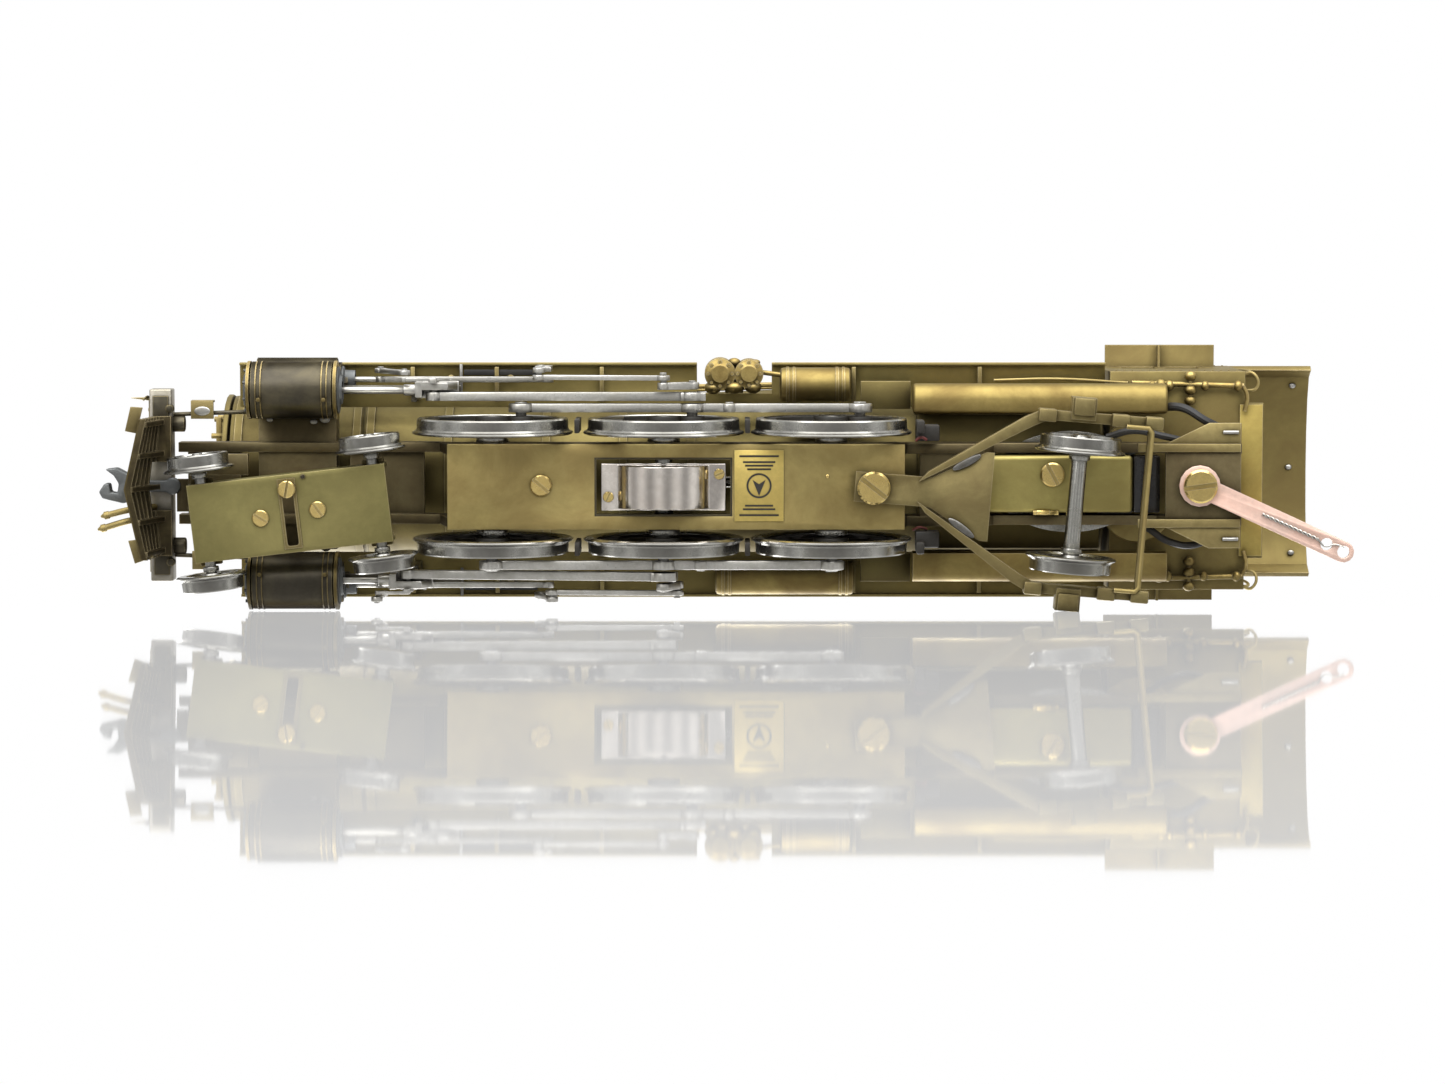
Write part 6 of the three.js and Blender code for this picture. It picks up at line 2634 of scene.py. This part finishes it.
@dataclass
class SideGear:
    """Running boards, air tanks, ash pan castings and the air compressor.

    Attributes:
        shop: the workshop that fits the pieces.
    """

    shop: Workshop

    def build(self) -> None:
        """Build and fit both sides."""
        for side in Side:
            self._boards(side)
            self._tank(side)
            self.shop.refine(f"ash_pan_{side.word}", "chassis", PAN_BRASS, 0.5, 4)
            panel = Bench.slab((-35.0, -27.9), side.span(10.3, 14.3), (19.6, 20.0), 0.08)
            self.shop.fit(panel, f"firebox_panel_{side.word}", "chassis", BODY_BRASS)
        self._compressor()

    def _boards(self, side: Side) -> None:
        """One running board with its edge strip, the painted shade of its slot, and its brackets.

        Args:
            side: which side of the engine.
        """
        name = f"running_board_{side.word}"
        self.shop.refine(name, "chassis", BOARD_BRASS, 0.06)
        z = self.shop.span(name, Axis.Z)
        # Painted shade: the slot is not cut through the board; a thin black strip stands for the shade seen
        # in it.
        slot = Bench.slab((18.3, 28.7), side.span(15.0, 15.8), (z[0] - 0.04, z[0] + 0.1), 0.02)
        self.shop.fit(slot, f"board_slot_{side.word}", "chassis", WIRE_BLACK)
        seam = Bench.slab((28.9, 29.3), side.span(12.6, 16.6), (z[0] - 0.08, z[0] + 0.1), 0.04)
        self.shop.fit(seam, f"board_seam_{side.word}", "chassis", SOLDER)
        posts = []
        for at in (54.0, 36.0, 24.0, 9.0, -27.0, -45.0):
            posts.append(
                Bench.slab((at - 0.3, at + 0.3), side.span(11.2, 16.2), (z[0] - 0.35, z[0] + 0.1), 0.08)
            )
        for at in (22.0, 30.5):
            posts.append(
                Bench.bar(
                    (at, side.value * 14.6, z[0] - 0.9), (at, side.value * 14.6, z[0] + 0.1), 0.5, 16, 0.1
                )
            )
        self.shop.fit(Bench.join(posts), f"board_brackets_{side.word}", "chassis", AGED_BRASS)

    def _tank(self, side: Side) -> None:
        """One air tank with its bands, ends and straps.

        Args:
            side: which side of the engine.
        """
        name = f"air_tank_{side.word}"
        x = self.shop.span(name, Axis.X)
        y, z, r = side.value * 13.8, 20.2, 2.4
        first = x[0] + (1.9 if side is Side.LEFT else 0.0)
        profile = [(0, first), (r - 0.5, first), (r - 0.1, first + 0.25), (r, first + 0.6)]
        profile += [(r, x[1] - 0.6), (r - 0.1, x[1] - 0.25), (r - 0.5, x[1]), (0, x[1])]
        parts = [Bench.turned(profile, Axis.X, (0, y, z), 64)]
        for at in (first + 0.9, first + 1.8, x[1] - 2.2, x[1] - 1.3):
            parts.append(
                Bench.turned(
                    [(r - 0.2, at), (r + 0.12, at), (r + 0.12, at + 0.35), (r - 0.2, at + 0.35)],
                    Axis.X,
                    (0, y, z),
                    64,
                    True,
                )
            )
        for at in (first + 1.5, x[1] - 1.6):
            parts.append(Bench.slab((at - 0.5, at + 0.5), side.span(13.0, 14.6), (z + 1.8, 23.7), 0.06))
        self.shop.fit(Bench.join(parts), f"air_tank_{side.word}_drum", "chassis", PAN_BRASS, [name])

    def _compressor(self) -> None:
        """The cast compressor: two ribbed cylinders with bolted flanges, valve lumps and a pipe."""
        z = self.shop.span("air_compressor", Axis.Z)
        parts = []
        for x, radius in ((-7.9, 2.2), (-12.0, 2.05)):
            profile = [(0, z[0]), (radius * 0.55, z[0]), (radius * 0.7, z[0] + 0.25), (radius, z[0] + 0.35)]
            height = z[0] + 0.35
            for _ in range(3):
                profile += [
                    (radius, height + 0.25), (radius - 0.25, height + 0.32), (radius - 0.25, height + 0.62)
                ]
                height += 0.7
                profile.append((radius, height))
            profile += [(radius, height + 0.3), (radius * 0.6, height + 0.5), (radius * 0.6, height + 1.1)]
            profile += [
                (radius, height + 1.2), (radius, z[1] - 0.3), (radius * 0.7, z[1] - 0.1), (0, z[1] - 0.1)
            ]
            parts.append(Bench.turned(profile, Axis.Z, (x, 15.4, 0), 40))
            for i in range(8):
                a = i * math.tau / 8
                y0 = (x + radius * 0.78 * math.cos(a), 15.4 + radius * 0.78 * math.sin(a))
                parts.append(Bench.bar((*y0, z[0] + 0.15), (*y0, z[0] + 0.5), 0.26, 6))
        parts.append(Bench.slab((-12.2, -7.6), (14.4, 16.2), (z[0] + 1.0, z[1] - 0.8), 0.3))
        for at, radius, squash in (
            ((-6.9, 13.4, z[0] + 1.6), 1.2, (1, 0.8, 1.2)),
            ((-9.9, 13.5, z[0] + 1.4), 1.35, (1.1, 0.7, 1.2)),
            ((-12.6, 13.5, z[0] + 1.6), 1.2, (1, 0.8, 1.2)),
            ((-9.9, 16.9, z[0] + 2.0), 0.9, (1.1, 0.8, 1.0)),
            ((-12.9, 17.0, z[0] + 1.8), 0.6, (1.2, 0.7, 1.0)),
        ):
            parts.append(Bench.ball(at, radius, squash, 10))
        parts.append(Bench.bar((-13.6, 15.6, z[0] + 1.8), (-16.4, 15.2, z[0] + 2.2), 0.35, 12))
        parts.append(Bench.slab((-11.2, -8.6), (12.6, 15.2), (19.0, 21.0), 0.15))
        compressor = Bench.join(parts)
        self.shop.fit(compressor, "compressor_casting", "chassis", CAST_BRASS, ["air_compressor"])


def dress_rest(shop: Workshop, slots: dict[str, str]) -> None:
    """Dress the frame nodes that have no finer piece.

    Args:
        shop: the workshop.
        slots: the material slot of each frame node.
    """
    finishes = {
        "aged_brass": AGED_BRASS,
        "golden_brass": GOLDEN_BRASS,
        "bright_brass": BRIGHT_BRASS,
        "blackened_brass": BLACKENED,
        "nickel_plate": NICKEL,
        "chrome_plate": CHROME,
        "copper_pink": COPPER,
        "grey_casting": GREY_CAST,
    }
    for part in bpy.data.objects:
        if "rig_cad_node" in part and not part.hide_render:
            shop.dress(part, finishes[slots[part["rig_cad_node"]]])


# ------------------------------------------------------------------ stage, light and camera


@dataclass(frozen=True)
class Softbox:
    """One square soft lamp of the studio.

    Attributes:
        name: the lamp's name.
        at: its place in metres; it aims at the middle of the engine.
        size: the length of its side, in metres.
        power: its power in watts.
    """

    name: str
    at: Point
    size: float
    power: float

    def hang(self, aim_at: Vector) -> None:
        """Hang the lamp in its place.

        Args:
            aim_at: the point that it is turned to.
        """
        data = bpy.data.lights.new(self.name, "AREA")
        data.size = self.size
        data.energy = self.power
        lamp = bpy.data.objects.new(self.name, data)
        bpy.context.scene.collection.objects.link(lamp)
        aim = (aim_at - Vector(self.at)).to_track_quat("-Z", "Y").to_matrix().to_4x4()
        lamp.matrix_world = Matrix.Translation(self.at) @ aim


@dataclass
class Studio:
    """The floor, the table of the lying pose, the lamps and the camera.

    Attributes:
        shop: the workshop that knows the engine's frame.
        focal_width: the lens's focal length, in frame widths.
        tilt: how far the camera looks down onto the table, in degrees.
        camera_at: the camera's place, in engine millimetres.
        table_offset: how far the table lies under the engine's middle, in millimetres.
        table_reach: where the table's gloss starts and ends behind the engine, in metres.
        gloss: how much of what it mirrors the table shows.
        floor_z: the floor's height, in millimetres.
        dim: strength of the light tent right under the engine.
        bright: strength of the light tent beside and over the engine.
        sides: extra strength of the tent's two sides.
        panels: how many panels go round the tent, how much they differ, and their mean.
        backdrop: how upward a direction must be for the white backdrop to start and to be full.
        lamps: the soft lamps.
    """

    shop: Workshop
    focal_width: float = 3.01
    tilt: float = 4.4
    camera_at: Point = (-8.248, 38.921, -598.779)
    table_offset: float = -16.75
    table_reach: Span = (0.0, 0.06)
    gloss: float = 0.6
    floor_z: float = -0.66
    dim: float = 0.72
    bright: float = 0.85
    sides: float = 0.5
    panels: Point = (9.0, 0.28, 0.8)
    backdrop: Span = (0.9, 0.95)
    lamps: Sequence[Softbox] = (
        Softbox("left_softbox", (-0.05, 0.65, -0.3), 1.0, 11.0),
        Softbox("top_softbox", (0.15, -0.6, 0.7), 0.8, 12.0),
        Softbox("under_softbox", (0.5, 0.5, -0.7), 0.5, 2.4),
    )

    def build(self) -> None:
        """Build the whole studio."""
        self._world()
        self._floor()
        self._table()
        for lamp in self.lamps:
            lamp.hang(Vector((0, 0, 0.02)))
        self._camera()

    def _camera(self) -> None:
        """The camera under the engine, with the engine's left side up in the frame."""
        data = bpy.data.cameras.new("camera")
        data.lens = self.focal_width * data.sensor_width
        data.clip_start = 0.01
        camera = bpy.data.objects.new("camera", data)
        bpy.context.scene.collection.objects.link(camera)
        tilt = math.radians(self.tilt)
        right = Vector((-1, 0, 0))
        up = Vector((0, math.cos(tilt), math.sin(tilt)))
        turn = Matrix((right, up, right.cross(up))).transposed().to_4x4()
        camera.matrix_world = Matrix.Translation(self.shop.engine @ Vector(self.camera_at)) @ turn
        bpy.context.scene.camera = camera

    def _world(self) -> None:
        """White behind the camera's view, a soft light tent with a dimmer underside for reflections."""
        world = bpy.data.worlds.new("light_tent")
        bpy.context.scene.world = world
        world.use_nodes = True
        n = Links(world.node_tree)
        parts = n.add("SeparateXYZ", Vector=n.add("TexCoord").outputs["Generated"])
        rise = n.add(
            "MapRange",
            {"interpolation_type": "SMOOTHSTEP"},
            Value=parts.outputs["Z"],
            From_Min=-0.9,
            From_Max=0.2,
            To_Min=self.dim,
            To_Max=self.bright,
        )
        count, contrast, mean = self.panels
        around = n.math("ARCTAN2", parts.outputs["X"], parts.outputs["Z"])
        stripe = n.math("SINE", n.math("MULTIPLY", around, count))
        panels = n.math("MULTIPLY_ADD", stripe, contrast, mean)
        sideways = n.math("POWER", n.math("ABSOLUTE", parts.outputs["Y"]), 3.0)
        glow = n.math(
            "MULTIPLY", n.math("MULTIPLY_ADD", sideways, self.sides, rise.outputs["Result"]), panels
        )
        low, high = self.backdrop
        behind = n.add(
            "MapRange",
            {"interpolation_type": "SMOOTHSTEP"},
            Value=parts.outputs["Z"],
            From_Min=low,
            From_Max=high,
        )
        glow = n.math("MAXIMUM", glow, behind.outputs["Result"])
        strength = n.add("Mix", {"data_type": "FLOAT"})
        n.tree.links.new(n.add("LightPath").outputs["Is Camera Ray"], strength.inputs[0])
        n.tree.links.new(glow, strength.inputs[2])
        strength.inputs[3].default_value = 1.0
        surface = n.add("Background", Color=(1.0, 1.0, 1.0, 1), Strength=strength.outputs[0])
        n.add("OutputWorld", Surface=surface.outputs[0])
        bpy.context.scene.view_settings.view_transform = "Standard"

    def _one_sided(self, name: str, shader: Callable[[Links], bpy.types.NodeSocket]) -> bpy.types.Material:
        """A material that shows only its front, and only to the camera.

        Args:
            name: the material's name.
            shader: what makes the front's shader.

        Returns:
            The material.
        """
        made = bpy.data.materials.new(name)
        made.use_nodes = True
        n = Links(made.node_tree)
        front = n.math("SUBTRACT", 1.0, n.add("NewGeometry").outputs["Backfacing"])
        front = n.math("MULTIPLY", front, n.add("LightPath").outputs["Is Camera Ray"])
        mixed = n.add("MixShader", Fac=front)
        n.tree.links.new(n.add("BsdfTransparent").outputs[0], mixed.inputs[1])
        n.tree.links.new(shader(n), mixed.inputs[2])
        n.add("OutputMaterial", Surface=mixed.outputs[0])
        return made

    def _sheet(self, name: str, size: float, place: Matrix, material: bpy.types.Material) -> None:
        """Lay one large flat sheet of the stage.

        Args:
            name: the sheet's name.
            size: the length of its side, in metres.
            place: where it lies.
            material: its material.
        """
        bpy.ops.object.select_all(action="DESELECT")
        bpy.ops.mesh.primitive_plane_add(size=size)
        sheet = bpy.context.active_object
        sheet.name = name
        sheet.data.transform(place)
        sheet.data.materials.append(material)

    def _floor(self) -> None:
        """Lay the pale floor that the engine stands on."""

        def paint(n: Links) -> bpy.types.NodeSocket:
            """A plain matt paint.

            Args:
                n: the material's node helper.

            Returns:
                The shader's socket.
            """
            return n.add("BsdfDiffuse", Color=(0.86, 0.86, 0.85, 1)).outputs[0]

        at = Matrix.Translation((0, 0, self.floor_z * MILLIMETRE))
        self._sheet("pale_floor", 4.0, at, self._one_sided("floor_paint", paint))

    def _table(self) -> None:
        """Lay the glossy white table beside the engine, seen at a grazing angle."""

        def gloss(n: Links) -> bpy.types.NodeSocket:
            """Clear where it is seen square on and behind the engine, mirror-like at a grazing angle.

            Args:
                n: the material's node helper.

            Returns:
                The shader's socket.
            """
            depth = n.add("SeparateXYZ", Vector=n.add("TexCoord").outputs["Object"]).outputs["Z"]
            near = n.add(
                "MapRange",
                {"interpolation_type": "SMOOTHSTEP"},
                Value=depth,
                From_Min=self.table_reach[0],
                From_Max=self.table_reach[1],
                To_Min=self.gloss,
                To_Max=0.0,
            )
            rim = n.add("Fresnel", IOR=1.38)
            mixed = n.add("MixShader", Fac=n.math("MULTIPLY", rim.outputs[0], near.outputs["Result"]))
            n.tree.links.new(n.add("BsdfTransparent").outputs[0], mixed.inputs[1])
            shine = n.add("BsdfGlossy", Color=(1, 1, 1, 1), Roughness=0.02)
            n.tree.links.new(shine.outputs[0], mixed.inputs[2])
            return mixed.outputs[0]

        tilt = math.radians(self.tilt)
        across = Vector((0, math.cos(tilt), math.sin(tilt)))
        point = self.shop.engine @ (across * self.table_offset)
        turn = Vector((0, 0, 1)).rotation_difference(across).to_matrix().to_4x4()
        self._sheet(
            "glossy_table", 8.0, Matrix.Translation(point) @ turn, self._one_sided("table_gloss", gloss)
        )


def main(frame: dict) -> None:
    """Build the studio and the engine, in order.
    """
    logging.basicConfig(level=logging.INFO)
    shop = Workshop.open(frame["joints"])
    Studio(shop).build()
    DrivingWheels(shop).build()
    RodWork(shop).build()
    LeadTruck(shop).build()
    TrailingTruck(shop).build()
    Drawbar(shop).build()
    Chassis(shop).build()
    Drive(shop).build()
    CylinderGroup(shop).build()
    FrontEnd(shop).build()
    Boiler(shop).build()
    CabHouse(shop).build()
    SideGear(shop).build()
    dress_rest(shop, {row["node"]: row["material_slot"] for row in frame["record"]["subparts"]})


if __name__ == "__main__":
    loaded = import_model()
    main(loaded)
